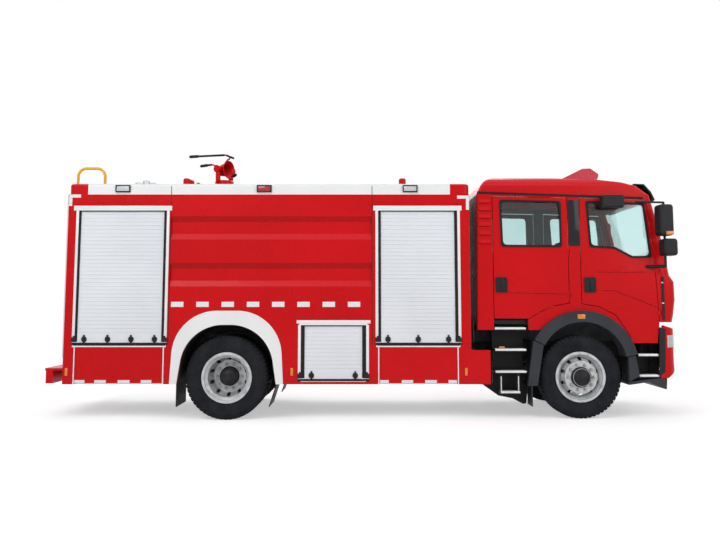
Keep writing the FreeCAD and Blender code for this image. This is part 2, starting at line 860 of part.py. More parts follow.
def ribbed_side():
    # Middle panel with two long pressed channels, the wheel arch and the low shutter's hole.
    outer = -body_half_width
    points = [(outer + skin, deck_z), (outer, deck_z)]
    for top in channel_tops_z:
        low = top - channel_height
        points += [(outer, top), (outer + channel_depth, top - channel_slope),
                   (outer + channel_depth, low + channel_slope), (outer, low)]
    points += [(outer, body_bottom_z), (outer + skin, body_bottom_z)]
    panel = end_prism(points, rear_seam_x, front_seam_x)
    hole = box(low_bay[0], low_bay[1], outer - overrun, outer + skin + overrun,
               low_bottom_z - shutter_bar_height, low_top_z)
    return panel.cut([wheel_arch_hole(outer - overrun, outer + skin + overrun), hole])


def tail_panels():
    # The skirt that runs on below the back of the cab, with its front plate.
    outer = -body_half_width
    side = box(body_front_x, body_front_x + tail_length, outer, outer + skin, body_bottom_z, tail_top_z)
    plate = box(body_front_x + tail_length - skin, body_front_x + tail_length, outer + skin,
                -locker_inner_y, body_bottom_z, tail_top_z)
    top = box(body_front_x, body_front_x + tail_length, outer + skin, -locker_inner_y,
              tail_top_z - locker_wall, tail_top_z)
    return fuse([side, plate, top])


def body_sides():
    rear = locker_side(body_rear_x, rear_seam_x, rear_bay)
    front = locker_side(front_seam_x, body_front_x, front_bay)
    return both_sides([rear, ribbed_side(), front, tail_panels()])


def open_box(x0, x1, z0, z1):
    # A locker built as a box that opens outwards, between the side panel and its back wall.
    outer = box(x0, x1, -body_half_width + skin, -locker_inner_y, z0, z1)
    hollow = box(x0 + locker_wall, x1 - locker_wall, -body_half_width, -locker_inner_y - locker_wall,
                 z0 + locker_wall, z1 - locker_wall)
    return outer.cut(hollow)


def body_lockers():
    shells = []
    for bay in (rear_bay, front_bay):
        shells.append(open_box(bay[0] - locker_wall, bay[1] + locker_wall, body_bottom_z, body_floor_z))
    shells.append(open_box(low_bay[0] - locker_wall, low_bay[1] + locker_wall, body_bottom_z,
                           low_top_z + locker_wall))
    plates = []
    for x0 in (body_rear_x, body_front_x - locker_wall):
        plates.append(box(x0, x0 + locker_wall, -body_half_width + skin, -locker_inner_y,
                          body_bottom_z, body_floor_z))
    return both_sides(shells + plates)


def body_core():
    # Floor on the subframe, front and rear walls, and the deck, all as one welded box.
    inner = body_half_width - skin
    floor = box(body_rear_x, body_front_x, -inner, inner, body_floor_z, body_floor_z + floor_thickness)
    low_wells = [box(low_bay[0] - locker_wall, low_bay[1] + locker_wall, -inner - overrun, -locker_inner_y,
                     body_floor_z - overrun, low_top_z)]
    wells = [wheel_arch_hole(-inner - overrun, -wheelhouse_inner_y)] + low_wells
    floor = floor.cut(both_sides(wells))
    runner = box(rail_rear_x, body_front_x, rail_half_width - rail_flange, rail_half_width,
                 rail_top_z, body_floor_z)
    walls = []
    for x0 in (body_rear_x, body_front_x - skin):
        walls.append(box(x0, x0 + skin, -inner, inner, body_floor_z, deck_z))
    opening = box(body_rear_x - overrun, body_rear_x + skin + overrun, -rear_bay_half_width,
                  rear_bay_half_width, rear_bay_bottom_z - shutter_bar_height, rear_bay_top_z)
    deck = box(body_rear_x, body_front_x, -inner, inner, deck_z - deck_thickness, deck_z)
    core = fuse([floor, deck] + walls + both_sides([runner]))
    return [core.cut(opening)]


def deck_rail_ring():
    outer = box(body_rear_x, body_front_x, -body_half_width, body_half_width, deck_z, body_top_z)
    corners = [edge for edge in outer.Edges if abs(edge.tangentAt(0).z) > 0.9]
    outer = outer.makeFillet(edge_corner_radius, corners)
    top = [edge for edge in outer.Edges if edge.BoundBox.ZMin > body_top_z - 1]
    outer = outer.makeFillet(edge_top_radius, top)
    width = edge_rail_width
    inner = box(body_rear_x + width, body_front_x - width, -body_half_width + width,
                body_half_width - width, deck_z - overrun, body_top_z + overrun)
    return outer.cut(inner)


def rail_cut(x0, x1):
    return box(x0, x1, -body_half_width - overrun, body_half_width + overrun,
               deck_z - overrun, body_top_z + overrun)


def deck_rails():
    middle = rail_cut(body_rear_x + white_rail_rear_inset, body_front_x - white_rail_front_inset)
    return deck_rail_ring().common(middle).Solids


def deck_rail_ends():
    ring = deck_rail_ring()
    rear = rail_cut(body_rear_x - overrun, body_rear_x + white_rail_rear_inset)
    front = rail_cut(body_front_x - white_rail_front_inset, body_front_x + overrun)
    return ring.common(rear).Solids + ring.common(front).Solids


def slat_curtain(x0, x1, z0, z1):
    # Interlocking slats: a flat face with a groove at every joint, drawn in the end view.
    count = round((z1 - z0) / slat_pitch)
    pitch = (z1 - z0) / count
    points = [(shutter_recess + shutter_depth, z1), (shutter_recess, z1)]
    for index in range(count - 1, 0, -1):
        z = z0 + pitch * index
        points += [(shutter_recess, z + slat_groove / 2), (shutter_recess + slat_groove, z),
                   (shutter_recess, z - slat_groove / 2)]
    points += [(shutter_recess, z0), (shutter_recess + shutter_depth, z0)]
    return end_prism(points, x0, x1)


def shutter(x0, x1, bar_z0, z0, z1):
    # Drawn with its outer face on y = 0, looking towards -y: the curtain and its lift bar.
    curtain = slat_curtain(x0 + side_rail_width / 2, x1 - side_rail_width / 2, z0, z1)
    bar = box(x0 + side_rail_width / 2, x1 - side_rail_width / 2, 0, shutter_recess + shutter_depth,
              bar_z0, z0)
    return fuse([curtain, bar])


def shutter_frame(x0, x1, bar_z0, z1, reach_rear, reach_front, sill_z):
    # Side rails that lap the curtain, the head rail above and the sill strip below.
    half = side_rail_width / 2
    rails = []
    for edge, inner in ((x0, x0 + half), (x1, x1 - half)):
        low, high = min(edge, inner), max(edge, inner)
        rails.append(box(low, high, -side_rail_proud / 2, shutter_recess + shutter_depth, bar_z0, z1))
    head = box(x0 - reach_rear, x1 + reach_front, -head_rail_proud / 2, 0, z1, z1 + head_rail_height)
    sill = box(x0 - reach_rear / 2, x1 + reach_front / 2, -side_rail_proud / 2, 0, sill_z,
               sill_z + sill_strip_height)
    return rails + [head, sill]


def on_right(shape):
    placed = shape.copy()
    placed.translate(V(0, -body_half_width, 0))
    return placed


def on_rear(shape):
    placed = shape.copy()
    placed.rotate(ORIGIN, Z_AXIS, -FULL_TURN / 4)
    placed.translate(V(body_rear_x, 0, 0))
    return placed


def tall_bays():
    low = tall_bottom_z - shutter_bar_height
    sill = flap_top_z + joint_gap
    return [(rear_bay, low, tall_bottom_z, tall_top_z, head_rail_reach, head_rail_reach, sill),
            (front_bay, low, tall_bottom_z, tall_top_z, head_rail_reach, head_rail_reach, sill),
            (low_bay, low_bottom_z - shutter_bar_height, low_bottom_z, low_top_z, side_rail_width,
             side_rail_width, low_bottom_z - shutter_bar_height - sill_strip_height)]


def shutter_curtains():
    sides = [on_right(shutter(bay[0], bay[1], bar, low, top))
             for bay, bar, low, top, _, _, _ in tall_bays()]
    rear = on_rear(shutter(-rear_bay_half_width, rear_bay_half_width,
                           rear_bay_bottom_z - shutter_bar_height, rear_bay_bottom_z, rear_bay_top_z))
    return both_sides(sides) + [rear]


def shutter_frames():
    sides = []
    for bay, bar, _, top, rear_reach, front_reach, sill in tall_bays():
        for piece in shutter_frame(bay[0], bay[1], bar, top, rear_reach, front_reach, sill):
            sides.append(on_right(piece))
    bar = rear_bay_bottom_z - shutter_bar_height
    rear = [on_rear(piece) for piece in
            shutter_frame(-rear_bay_half_width, rear_bay_half_width, bar, rear_bay_top_z,
                          side_rail_width, side_rail_width, bar - sill_strip_height)]
    return both_sides(sides) + rear


def flap(bay, side):
    # Bottom-hinged step panel with its pin along the lower edge.
    outer = -body_half_width
    panel = box(bay[0] + joint_gap, bay[1] - joint_gap, outer, outer + flap_thickness,
                flap_bottom_z, flap_top_z)
    pin = cylinder(flap_hinge_radius / 2, V(bay[0] - flap_hinge_radius, flap_hinge_y(), flap_hinge_z()),
                   X_AXIS, bay[1] - bay[0] + 2 * flap_hinge_radius)
    solid = fuse([panel, pin])
    return [solid if side < 0 else mirrored(solid)]


def arch_trims():
    y1 = -body_half_width
    y0 = y1 - trim_proud
    band = arch_prism(trim_flat, trim_radius, trim_top_z, trim_foot, body_bottom_z, y0, y1)
    return both_sides([band.cut(wheel_arch_hole(y0 - overrun, y1 + overrun))])


def rear_mudguards():
    # A bent liner in the wheelhouse with a rubber flap hung at each end.
    inner_y = -wheelhouse_inner_y
    outer_y = -body_half_width + skin
    outside = arch_prism(arch_flat, arch_radius, arch_top_z, arch_foot + mudguard_wall,
                         body_bottom_z, outer_y, inner_y)
    inside = arch_prism(arch_flat, arch_radius - mudguard_wall, arch_top_z - mudguard_wall,
                        arch_foot, body_bottom_z - overrun, outer_y - overrun, inner_y + overrun)
    liner = outside.cut(inside)
    y0 = outer_y + mudflap_thickness
    y1 = y0 + mudflap_width
    foot_x = rear_axle_x - arch_foot
    rear_flap = box(foot_x - mudflap_thickness, foot_x, y0, y1, mudflap_bottom_z,
                    body_bottom_z + mudguard_wall)
    front_x = rear_axle_x + arch_foot
    lean = (body_bottom_z - mudflap_bottom_z) / 3
    front_flap = side_prism([
        (front_x, body_bottom_z + mudguard_wall), (front_x + mudflap_thickness, body_bottom_z + mudguard_wall),
        (front_x + mudflap_thickness - lean, mudflap_bottom_z), (front_x - lean, mudflap_bottom_z),
    ], y0, y1)
    return both_sides([fuse([liner, rear_flap, front_flap])])


# Rear end

def rear_bumper():
    rear_x = rear_axle_x - rear_overhang
    bar = box(rear_x, rear_x + rear_bumper_depth, -rear_bumper_half_width, rear_bumper_half_width,
              rear_bumper_bottom_z, rear_bumper_top_z)
    corners = [edge for edge in bar.Edges if abs(edge.tangentAt(0).z) > 0.9 and edge.BoundBox.XMax < rear_x + 1]
    bar = bar.makeFillet(rear_bumper_depth / 3, corners)
    step = box(rear_x, body_rear_x, -rear_bumper_half_width, rear_bumper_half_width,
               rear_bumper_top_z, rear_bumper_top_z + rear_step_thickness)
    arm = side_prism([
        (rear_x + rear_bumper_depth, rear_bumper_bottom_z), (rail_rear_x, rear_bumper_bottom_z),
        (rail_rear_x + rail_height, rail_bottom_z), (rail_rear_x, rail_bottom_z + rail_height / 2),
        (rear_x + rear_bumper_depth, rear_bumper_top_z),
    ], rail_half_width, rail_half_width + 2 * rail_wall)
    return [fuse([bar, step] + both_sides([arm]))]


def ladder():
    # Two upright tubes with rungs between them, on stand-off brackets at the back wall.
    x = body_rear_x - ladder_standoff
    pieces = []
    for y in (-ladder_inner_y, -ladder_outer_y):
        pieces.append(tube_between(ladder_tube_radius, V(x, y, ladder_bottom_z), V(x, y, ladder_top_z)))
        for share in ladder_bracket_shares:
            z = ladder_bottom_z + (ladder_top_z - ladder_bottom_z) * share
            z = max(z, body_floor_z + 2 * floor_thickness)
            pieces.append(tube_between(ladder_rung_radius, V(x, y, z), V(body_rear_x, y, z)))
    span = ladder_top_z - ladder_bottom_z
    for index in range(ladder_rung_count):
        z = ladder_bottom_z + span * (index + 0.5) / ladder_rung_count
        pieces.append(tube_between(ladder_rung_radius, V(x, -ladder_outer_y, z), V(x, -ladder_inner_y, z)))
    return [fuse(pieces)]


def bent_tube(points, radius, bend):
    # Straight runs joined by tangent arcs, swept with a round section.
    edges = []
    start = points[0]
    for before, corner, after in zip(points, points[1:], points[2:]):
        a = (before - corner).normalize()
        b = (after - corner).normalize()
        half = a.getAngle(b) / 2
        setback = bend / math.tan(half)
        p0 = corner + a * setback
        p1 = corner + b * setback
        axis = (a + b).normalize()
        middle = corner + axis * (bend / math.sin(half) - bend)
        edges.append(Part.makeLine(start, p0))
        edges.append(Part.Arc(p0, middle, p1).toShape())
        start = p1
    edges.append(Part.makeLine(start, points[-1]))
    path = Part.Wire(edges)
    section = Part.Wire(Part.makeCircle(radius, points[0], points[1] - points[0]))
    return path.makePipeShell([section], True, False)


def ladder_hoop():
    # A grab hoop over the ladder's outer tube, from the deck's edge rail back to the deck.
    x0 = body_rear_x + edge_rail_width / 2
    x1 = x0 + hoop_length
    y = -ladder_outer_y
    top = body_top_z + hoop_height
    return [bent_tube([V(x0, y, body_top_z), V(x0, y, top), V(x1, y, top), V(x1, y, deck_z)],
                      hoop_radius, hoop_bend)]


def rear_lamps():
    low = box(body_rear_x - rear_lamp_depth, body_rear_x, -rear_lamp_y - rear_lamp_width / 2,
              -rear_lamp_y + rear_lamp_width / 2, rear_lamp_z, rear_lamp_z + rear_lamp_height)
    faces = [edge for edge in low.Edges if edge.BoundBox.XMax < body_rear_x - rear_lamp_depth + 1]
    return both_sides([low.makeFillet(rear_lamp_depth / 3, faces)])


def marker_xs():
    return (body_rear_x + marker_width * 1.5, low_bay[0] - marker_width * 4, body_front_x - marker_width * 2)


def side_lamps():
    # Upright amber markers low down, and flood lamps on the deck's edge rail.
    lamps = []
    for x in marker_xs():
        lamps.append(box(x - marker_width / 2, x + marker_width / 2, -body_half_width - marker_depth,
                         -body_half_width, marker_z - marker_height / 2, marker_z + marker_height / 2))
    for x in band_lamp_xs:
        lamp = box(x - band_lamp_length / 2, x + band_lamp_length / 2, -body_half_width - band_lamp_depth,
                   -body_half_width, band_lamp_z - band_lamp_height / 2, band_lamp_z + band_lamp_height / 2)
        front = [edge for edge in lamp.Edges if edge.BoundBox.YMax < -body_half_width - band_lamp_depth + 1]
        lamps.append(lamp.makeFillet(band_lamp_depth / 4, front))
    return both_sides(lamps)


# Deck fittings and monitor

def deck_fittings():
    # A filling hatch over the tank and two small warning lamps on posts.
    pieces = []
    foot = V(hatch_x, hatch_y, deck_z)
    neck = cylinder(hatch_radius - hatch_lid, foot, Z_AXIS, hatch_neck)
    lid = cylinder(hatch_radius, foot + V(0, 0, hatch_neck), Z_AXIS, hatch_lid)
    pieces.append(fuse([neck, lid.makeFillet(hatch_lid / 3, lid.Edges[:1])]))
    for x in beacon_xs:
        base = V(x, -beacon_y, deck_z)
        post = cylinder(beacon_post_radius, base, Z_AXIS, body_top_z - deck_z + beacon_post_height / 2)
        dome_z = body_top_z - deck_z + beacon_post_height / 4
        dome = cylinder(beacon_radius, base + V(0, 0, dome_z), Z_AXIS, beacon_height)
        rim = [edge for edge in dome.Edges if edge.BoundBox.ZMin > deck_z + dome_z + 1
               and edge.BoundBox.XLength > beacon_radius]
        pieces.append(fuse([post, dome.makeFillet(beacon_radius / 2, rim)]))
    return pieces


def placed_monitor(shape):
    # Monitor pieces are drawn over the origin, then turned to the parked heading.
    placed = shape.copy()
    placed.rotate(ORIGIN, Z_AXIS, monitor_heading)
    placed.translate(V(monitor_x, monitor_y, 0))
    return placed


def monitor_base():
    foot = V(0, 0, deck_z)
    flange = cylinder(monitor_flange_radius, foot, Z_AXIS, monitor_flange_height)
    pipe = cylinder(monitor_pipe_radius, foot, Z_AXIS, monitor_swivel_z - deck_z)
    spigot = cylinder(monitor_spigot_radius, foot, Z_AXIS, monitor_swivel_z - deck_z + monitor_spigot_height)
    return [placed_monitor(fuse([flange, pipe, spigot]))]


def monitor_turret():
    # The swivel collar and two bent water ways that rise to the tilt joint.
    foot = V(0, 0, monitor_swivel_z + kingpin_gap)
    collar = cylinder(monitor_swivel_radius, foot, Z_AXIS, monitor_swivel_height)
    pieces = [collar.makeChamfer(monitor_swivel_edge, [edge for edge in collar.Edges if edge.Closed])]
    low = foot + V(0, 0, monitor_swivel_height / 2)
    for side in (-1, 1):
        out = low + V(0, side * monitor_fork_half_width, 0)
        up = V(0, out.y, monitor_tilt_z)
        pieces.append(bent_tube([low, out, up], monitor_fork_radius, monitor_fork_bend))
        pieces.append(cylinder(monitor_boss_radius, up - V(0, monitor_boss_half_width, 0), Y_AXIS,
                               2 * monitor_boss_half_width))
    bore = cylinder(monitor_pin_radius + pin_gap, V(0, -2 * monitor_fork_half_width, monitor_tilt_z),
                    Y_AXIS, 4 * monitor_fork_half_width)
    socket = cylinder(monitor_spigot_radius + pin_gap, foot, Z_AXIS, monitor_spigot_height)
    return [placed_monitor(fuse(pieces).cut([bore, socket]))]


def turned_bell(outline, centre):
    # Turned about the barrel's own axis, from points given as (distance along, radius).
    ends = [(outline[-1][0], 0), (outline[0][0], 0)]
    wire = flat_wire([(radius, along) for along, radius in list(outline) + ends])
    bell = Part.Face(wire).revolve(ORIGIN, Y_AXIS, FULL_TURN)
    bell.rotate(ORIGIN, Z_AXIS, -FULL_TURN / 4)
    bell.translate(centre)
    return bell


def monitor_barrel():
    # The bell on a tilting trunk whose pins sit in the fork, a long hand lever and a valve lever.
    centre = V(0, 0, monitor_tilt_z)
    reach = monitor_fork_half_width + monitor_boss_half_width
    pin = cylinder(monitor_pin_radius, centre - V(0, reach, 0), Y_AXIS, 2 * reach)
    inside = monitor_fork_half_width - monitor_boss_half_width - joint_gap
    trunk = cylinder(monitor_boss_radius, centre - V(0, inside, 0), Y_AXIS, 2 * inside)
    body = fuse([turned_bell(monitor_bell_outside, centre), trunk, pin])
    body = body.cut(turned_bell(monitor_bell_inside, centre))
    levers = [bent_tube([centre + V(x, 0, z) for x, z in points], monitor_lever_radius,
                        2 * monitor_lever_radius) for points in (monitor_lever_points, monitor_valve_points)]
    return [placed_monitor(fuse([body] + levers))]


# Cab

def cab_section(level, inset):
    z, rear, front, half = level
    if z > gutter_z:
        z -= inset
    rear += inset
    front -= inset
    half -= inset
    corner = cab_corner - inset / 2
    small = cab_rear_corner
    shoulder = front - cab_bow
    yc = half - corner
    diagonal = math.sqrt(0.5)

    def arc(a, b, c):
        return Part.Arc(a, b, c).toShape()

    right_mid = V(shoulder - corner * (1 - diagonal), -yc - corner * diagonal, z)
    left_mid = V(right_mid.x, -right_mid.y, z)
    rear_mid = V(rear + small * (1 - diagonal), -half + small * (1 - diagonal), z)
    return Part.Wire([
        Part.makeLine(V(rear, half - small, z), V(rear, small - half, z)),
        arc(V(rear, small - half, z), rear_mid, V(rear + small, -half, z)),
        Part.makeLine(V(rear + small, -half, z), V(shoulder - corner, -half, z)),
        arc(V(shoulder - corner, -half, z), right_mid, V(shoulder, -yc, z)),
        arc(V(shoulder, -yc, z), V(front, 0, z), V(shoulder, yc, z)),
        arc(V(shoulder, yc, z), left_mid, V(shoulder - corner, half, z)),
        Part.makeLine(V(shoulder - corner, half, z), V(rear + small, half, z)),
        arc(V(rear + small, half, z), V(rear_mid.x, -rear_mid.y, z), V(rear, half - small, z)),
    ])


def cab_form(inset, levels=cab_levels):
    return Part.makeLoft([cab_section(level, inset) for level in levels], True, True)


def door_opening(points):
    outline = [(front_axle_x + x, z) for x, z in points]
    face = face_of([V(x, 0, z) for x, z in outline]).makeOffset2D(door_gap, 2)
    prism = face.extrude(V(0, cab_half_width, 0))
    return [prism, mirrored(prism)]


def hinge_places():
    # Hinge axis x, and for each hinge its height and the door edge there.
    return ((rear_door_hinge_x, ((1560, -126), (2120, -126))),
            (front_door_hinge_x, ((1330, 1017), (1880, 994))))


def hinge_axis_y():
    return -cab_half_width - door_hinge_proud


def hinge_pins_and_pockets():
    pins = []
    pockets = []
    for axis_x, places in hinge_places():
        for z, edge in places:
            tall = hinge_height
            foot = V(axis_x, hinge_axis_y(), z - tall)
            pins.append(cylinder(hinge_pin_radius, foot, Z_AXIS, 2 * tall))
            pockets.append(box(front_axle_x + edge - joint_gap, axis_x + hinge_barrel_radius + joint_gap,
                               -cab_half_width - overrun, hinge_axis_y() + 2 * hinge_barrel_radius + joint_gap,
                               z - tall / 2 - kingpin_gap, z + tall / 2 + kingpin_gap))
    return pins, pockets


def cab_shell():
    outer = cab_form(0)
    inner_levels = [(cab_floor_z,) + cab_levels[1][1:]] + list(cab_levels[2:])
    inner = cab_form(cab_wall, inner_levels)
    reach = cab_half_width + overrun
    inner_y = fender_inner_y
    arch_axis = V(cab_arch_x, -reach, cab_arch_z)
    house = cylinder(cab_arch_radius + wheelhouse_wall, arch_axis, Y_AXIS, reach - inner_y + wheelhouse_wall)
    arch = cylinder(cab_arch_radius, arch_axis, Y_AXIS, reach - inner_y)
    tunnel_outer = box(tunnel_rear_x, engine_front_x + 2 * cab_wall, -tunnel_half_width, tunnel_half_width,
                       cab_floor_z - cab_floor_thickness, tunnel_top_z)
    inner = inner.cut([house, mirrored(house), tunnel_outer])
    wall = cab_floor_thickness / 2
    tunnel = box(tunnel_rear_x + wall, engine_front_x + wall, -tunnel_half_width + wall,
                 tunnel_half_width - wall, cab_floor_z - cab_floor_thickness - overrun, tunnel_top_z - wall)
    under = box(cab_levels[0][1] - overrun, front_axle_x + front_overhang + overrun,
                -cab_half_width + cab_wall, cab_half_width - cab_wall,
                cab_levels[0][0] - overrun, cab_floor_z - cab_floor_thickness)
    rear_low = box(cab_levels[0][1] - overrun, cab_arch_x, -reach, reach,
                   cab_levels[0][0] - overrun, cab_rear_bottom_z)
    nose_low = box(front_axle_x + front_door_points[4][0], front_axle_x + front_overhang + overrun,
                   -reach, reach, cab_levels[0][0] - overrun, cab_levels[1][0])
    screen = box(front_axle_x + front_door_points[1][0] - cab_corner, front_axle_x + front_overhang,
                 -cab_half_width + windscreen_side_inset, cab_half_width - windscreen_side_inset,
                 windscreen_bottom_z, windscreen_top_z)
    recess = box(front_axle_x + rear_door_points[6][0] - door_gap, front_axle_x + rear_door_points[5][0] - door_gap,
                 -reach, -cab_half_width + step_recess_depth, cab_levels[0][0] - overrun,
                 rear_door_points[6][1] - door_gap)
    cuts = [inner, arch, mirrored(arch), tunnel, under, rear_low, nose_low, screen, recess,
            mirrored(recess)]
    for points in (rear_door_points, front_door_points):
        for side, prism in zip((1, -1), door_opening(points)):
            keep = box(cab_levels[0][1] - overrun, front_axle_x + front_overhang,
                       min(side * reach, side * (cab_half_width - cab_wall - overrun)),
                       max(side * reach, side * (cab_half_width - cab_wall - overrun)),
                       cab_levels[0][0] - overrun, gutter_z)
            cuts.append(prism.common(keep))
    pins, pockets = hinge_pins_and_pockets()
    shell = outer.cut(cuts).cut(both_sides(pockets))
    lug = cab_pivot_lugs()
    return [fuse([max(shell.Solids, key=lambda solid: solid.Volume)] + both_sides(pins) + lug)]


def cab_pivot_lugs():
    # Arms under the floor that reach down to the tilt pin outside the frame's brackets.
    y0 = rail_half_width + joint_gap
    top = cab_levels[1][0]
    arm = side_prism([
        (cab_pivot_x - cab_pivot_lug, top),
        (cab_pivot_x - cab_pivot_lug / 2, cab_pivot_z - cab_pivot_lug / 2),
        (cab_pivot_x + cab_pivot_lug / 2, cab_pivot_z - cab_pivot_lug / 2),
        (cab_pivot_x, top),
    ], y0, y0 + cab_pivot_lug / 2)
    bore = cylinder(cab_pivot_radius + pin_gap, V(cab_pivot_x, 0, cab_pivot_z), Y_AXIS,
                    rail_half_width + 4 * cab_pivot_lug)
    return both_sides([arm.cut(bore)])


def windscreen():
    pane = cab_form(glass_inset).cut(cab_form(glass_inset + windscreen_thickness))
    region = box(front_axle_x + front_door_points[1][0] - cab_corner, front_axle_x + front_overhang,
                 -cab_half_width + windscreen_side_inset, cab_half_width - windscreen_side_inset,
                 windscreen_bottom_z, windscreen_top_z)
    solids = pane.common(region).Solids
    return [max(solids, key=lambda solid: solid.BoundBox.YLength)]


def door(points, window, hinge, side):
    outline = [(front_axle_x + x, z) for x, z in points]
    panel = side_prism(outline, -cab_half_width, -cab_half_width + cab_wall)
    hole = side_prism([(front_axle_x + x, z) for x, z in window], -cab_half_width - overrun,
                      -cab_half_width + cab_wall + overrun)
    panel = panel.cut(hole)
    axis_x, places = hinge
    lugs = []
    bores = []
    for z, edge in places:
        low = z - hinge_height / 2
        lugs.append(box(front_axle_x + edge - 2 * hinge_barrel_radius, axis_x,
                        hinge_axis_y() - hinge_barrel_radius / 2, hinge_axis_y() + hinge_barrel_radius,
                        low, low + hinge_height))
        lugs.append(cylinder(hinge_barrel_radius, V(axis_x, hinge_axis_y(), low), Z_AXIS, hinge_height))
        bores.append(cylinder(hinge_pin_radius + pin_gap, V(axis_x, hinge_axis_y(), low - overrun), Z_AXIS,
                              hinge_height + 2 * overrun))
    solid = fuse([panel] + lugs).cut(bores)
    return [solid if side < 0 else mirrored(solid)]


def rear_door(side):
    return door(rear_door_points, rear_window_points, hinge_places()[0], side)


def front_door(side):
    return door(front_door_points, front_window_points, hinge_places()[1], side)


def door_glass(window, side):
    y0 = -cab_half_width + glass_inset
    pane = side_prism([(front_axle_x + x, z) for x, z in window], y0, y0 + glass_thickness)
    return [pane if side < 0 else mirrored(pane)]


def cab_fenders():
    # A liner over the tyre with a flared lip that laps the cab's side.
    def sector(inner_radius, outer_radius, y0, y1):
        ring = cylinder(outer_radius, V(cab_arch_x, y0, cab_arch_z), Y_AXIS, y1 - y0)
        ring = ring.cut(cylinder(inner_radius, V(cab_arch_x, y0 - overrun, cab_arch_z), Y_AXIS,
                                 y1 - y0 + 2 * overrun))
        reach = 2 * outer_radius
        rear = math.radians(fender_rear_angle)
        front = math.radians(fender_front_angle)
        keep = side_prism([
            (cab_arch_x, cab_arch_z),
            (cab_arch_x + reach * math.cos(front), cab_arch_z + reach * math.sin(front)),
            (cab_arch_x, cab_arch_z + 2 * reach),
            (cab_arch_x + reach * math.cos(rear), cab_arch_z + reach * math.sin(rear)),
        ], y0 - overrun, y1 + overrun)
        return ring.common(keep)

    liner = sector(fender_inner_radius, fender_inner_radius + fender_wall, -cab_half_width,
                   -fender_inner_y - seat_gap)
    lip = sector(fender_inner_radius, fender_outer_radius, -fender_outer_y, -cab_half_width)
    return both_sides([fuse([liner, lip])])


def front_skirts():
    # Lower fender pieces round each front wheel, the black housings behind the entry steps
    # and the lip under the bumper, all carried by arms from the frame.
    outer = -fender_outer_y
    inner = -fender_inner_y
    pieces = []
    for points, arm_x in ((lower_fender_rear_points, rear_skirt_arm_x),
                          (lower_fender_front_points, front_skirt_arm_x)):
        outline = [(front_axle_x + x, z) for x, z in points]
        arm = box(arm_x, arm_x + skirt_arm_width, inner, -rail_half_width, skirt_arm_z,
                  skirt_arm_z + skirt_arm_width)
        leg = [side_prism(outline, outer, inner), arm]
        if arm_x < front_axle_x:
            guard = [(front_axle_x + x, z) for x, z in mudguard_rear_points]
            leg = [side_prism(outline, outer, outer + fender_skin), side_prism(guard, outer, inner), arm]
            leg.append(box(front_mudflap_x, front_mudflap_x + mudflap_thickness,
                           outer + mudflap_thickness, inner, front_mudflap_bottom_z,
                           points[2][1] + mudflap_thickness))
        pieces.append(fuse(leg))
    back = -step_inner_y
    arm_z = rail_bottom_z + rail_height / 2
    rear_outline = [(front_axle_x + x, z) for x, z in step_plate_points]
    rear_plate = side_prism(rear_outline, back, back + step_post_width)
    front_plate = box(front_step_x0, front_step_x1, back, back + step_post_width,
                      min(front_step_zs) - step_thickness, max(front_step_zs))
    for x0, x1, plate in ((step_x0, step_x1, rear_plate), (front_step_x0, front_step_x1, front_plate)):
        arms = [box(x, x + step_post_width, back, -rail_half_width, arm_z, arm_z + step_post_width)
                for x in (x0, x1 - step_post_width)]
        pieces.append(fuse([plate] + arms))
    lip = side_prism([(front_axle_x + x, z) for x, z in lip_points], -lip_half_width, lip_half_width)
    return both_sides(pieces) + [lip]


def entry_steps():
    # Treads that stand out from their housings, with a folding step hung under the rear ones.
    treads = []
    for x0, x1, heights in ((step_x0, step_x1, step_zs), (front_step_x0, front_step_x1, front_step_zs)):
        treads += [box(x0, x1, -step_outer_y, -step_inner_y, z - step_thickness, z) for z in heights]
    lowest = treads[len(step_zs) - 1]
    folding = box(folding_step_x0, folding_step_x1, -step_outer_y, -step_inner_y,
                  folding_step_z, folding_step_z + step_thickness)
    hangers = [box(x, x + step_thickness, -step_outer_y + step_post_width, -step_outer_y + 2 * step_post_width,
                   folding_step_z, step_zs[-1] - step_thickness)
               for x in (folding_step_x0, folding_step_x1 - step_thickness)]
    treads[len(step_zs) - 1] = fuse([lowest, folding] + hangers)
    return both_sides(treads)


def bumper_plan(inset, z):
    rear = bumper_rear_bottom_x - inset
    front = bumper_front_x - inset
    half = bumper_half_width - inset
    corner = bumper_corner - inset
    shoulder = front - bumper_bow
    diagonal = math.sqrt(0.5)
    yc = half - corner

    def mid(sign):
        return V(shoulder - corner * (1 - diagonal), sign * (yc + corner * diagonal), z)

    return Part.Wire([
        Part.makeLine(V(rear, half, z), V(rear, -half, z)),
        Part.makeLine(V(rear, -half, z), V(shoulder - corner, -half, z)),
        Part.Arc(V(shoulder - corner, -half, z), mid(-1), V(shoulder, -yc, z)).toShape(),
        Part.Arc(V(shoulder, -yc, z), V(front, 0, z), V(shoulder, yc, z)).toShape(),
        Part.Arc(V(shoulder, yc, z), mid(1), V(shoulder - corner, half, z)).toShape(),
        Part.makeLine(V(shoulder - corner, half, z), V(rear, half, z)),
    ])


def headlamp_box(side, grow):
    y = side * headlamp_y
    half = headlamp_width / 2 + grow
    return box(bumper_front_x - bumper_bow - bumper_corner - headlamp_depth, bumper_front_x + overrun,
               y - half, y + half, headlamp_z - headlamp_half_height - grow,
               headlamp_z + headlamp_half_height + grow)


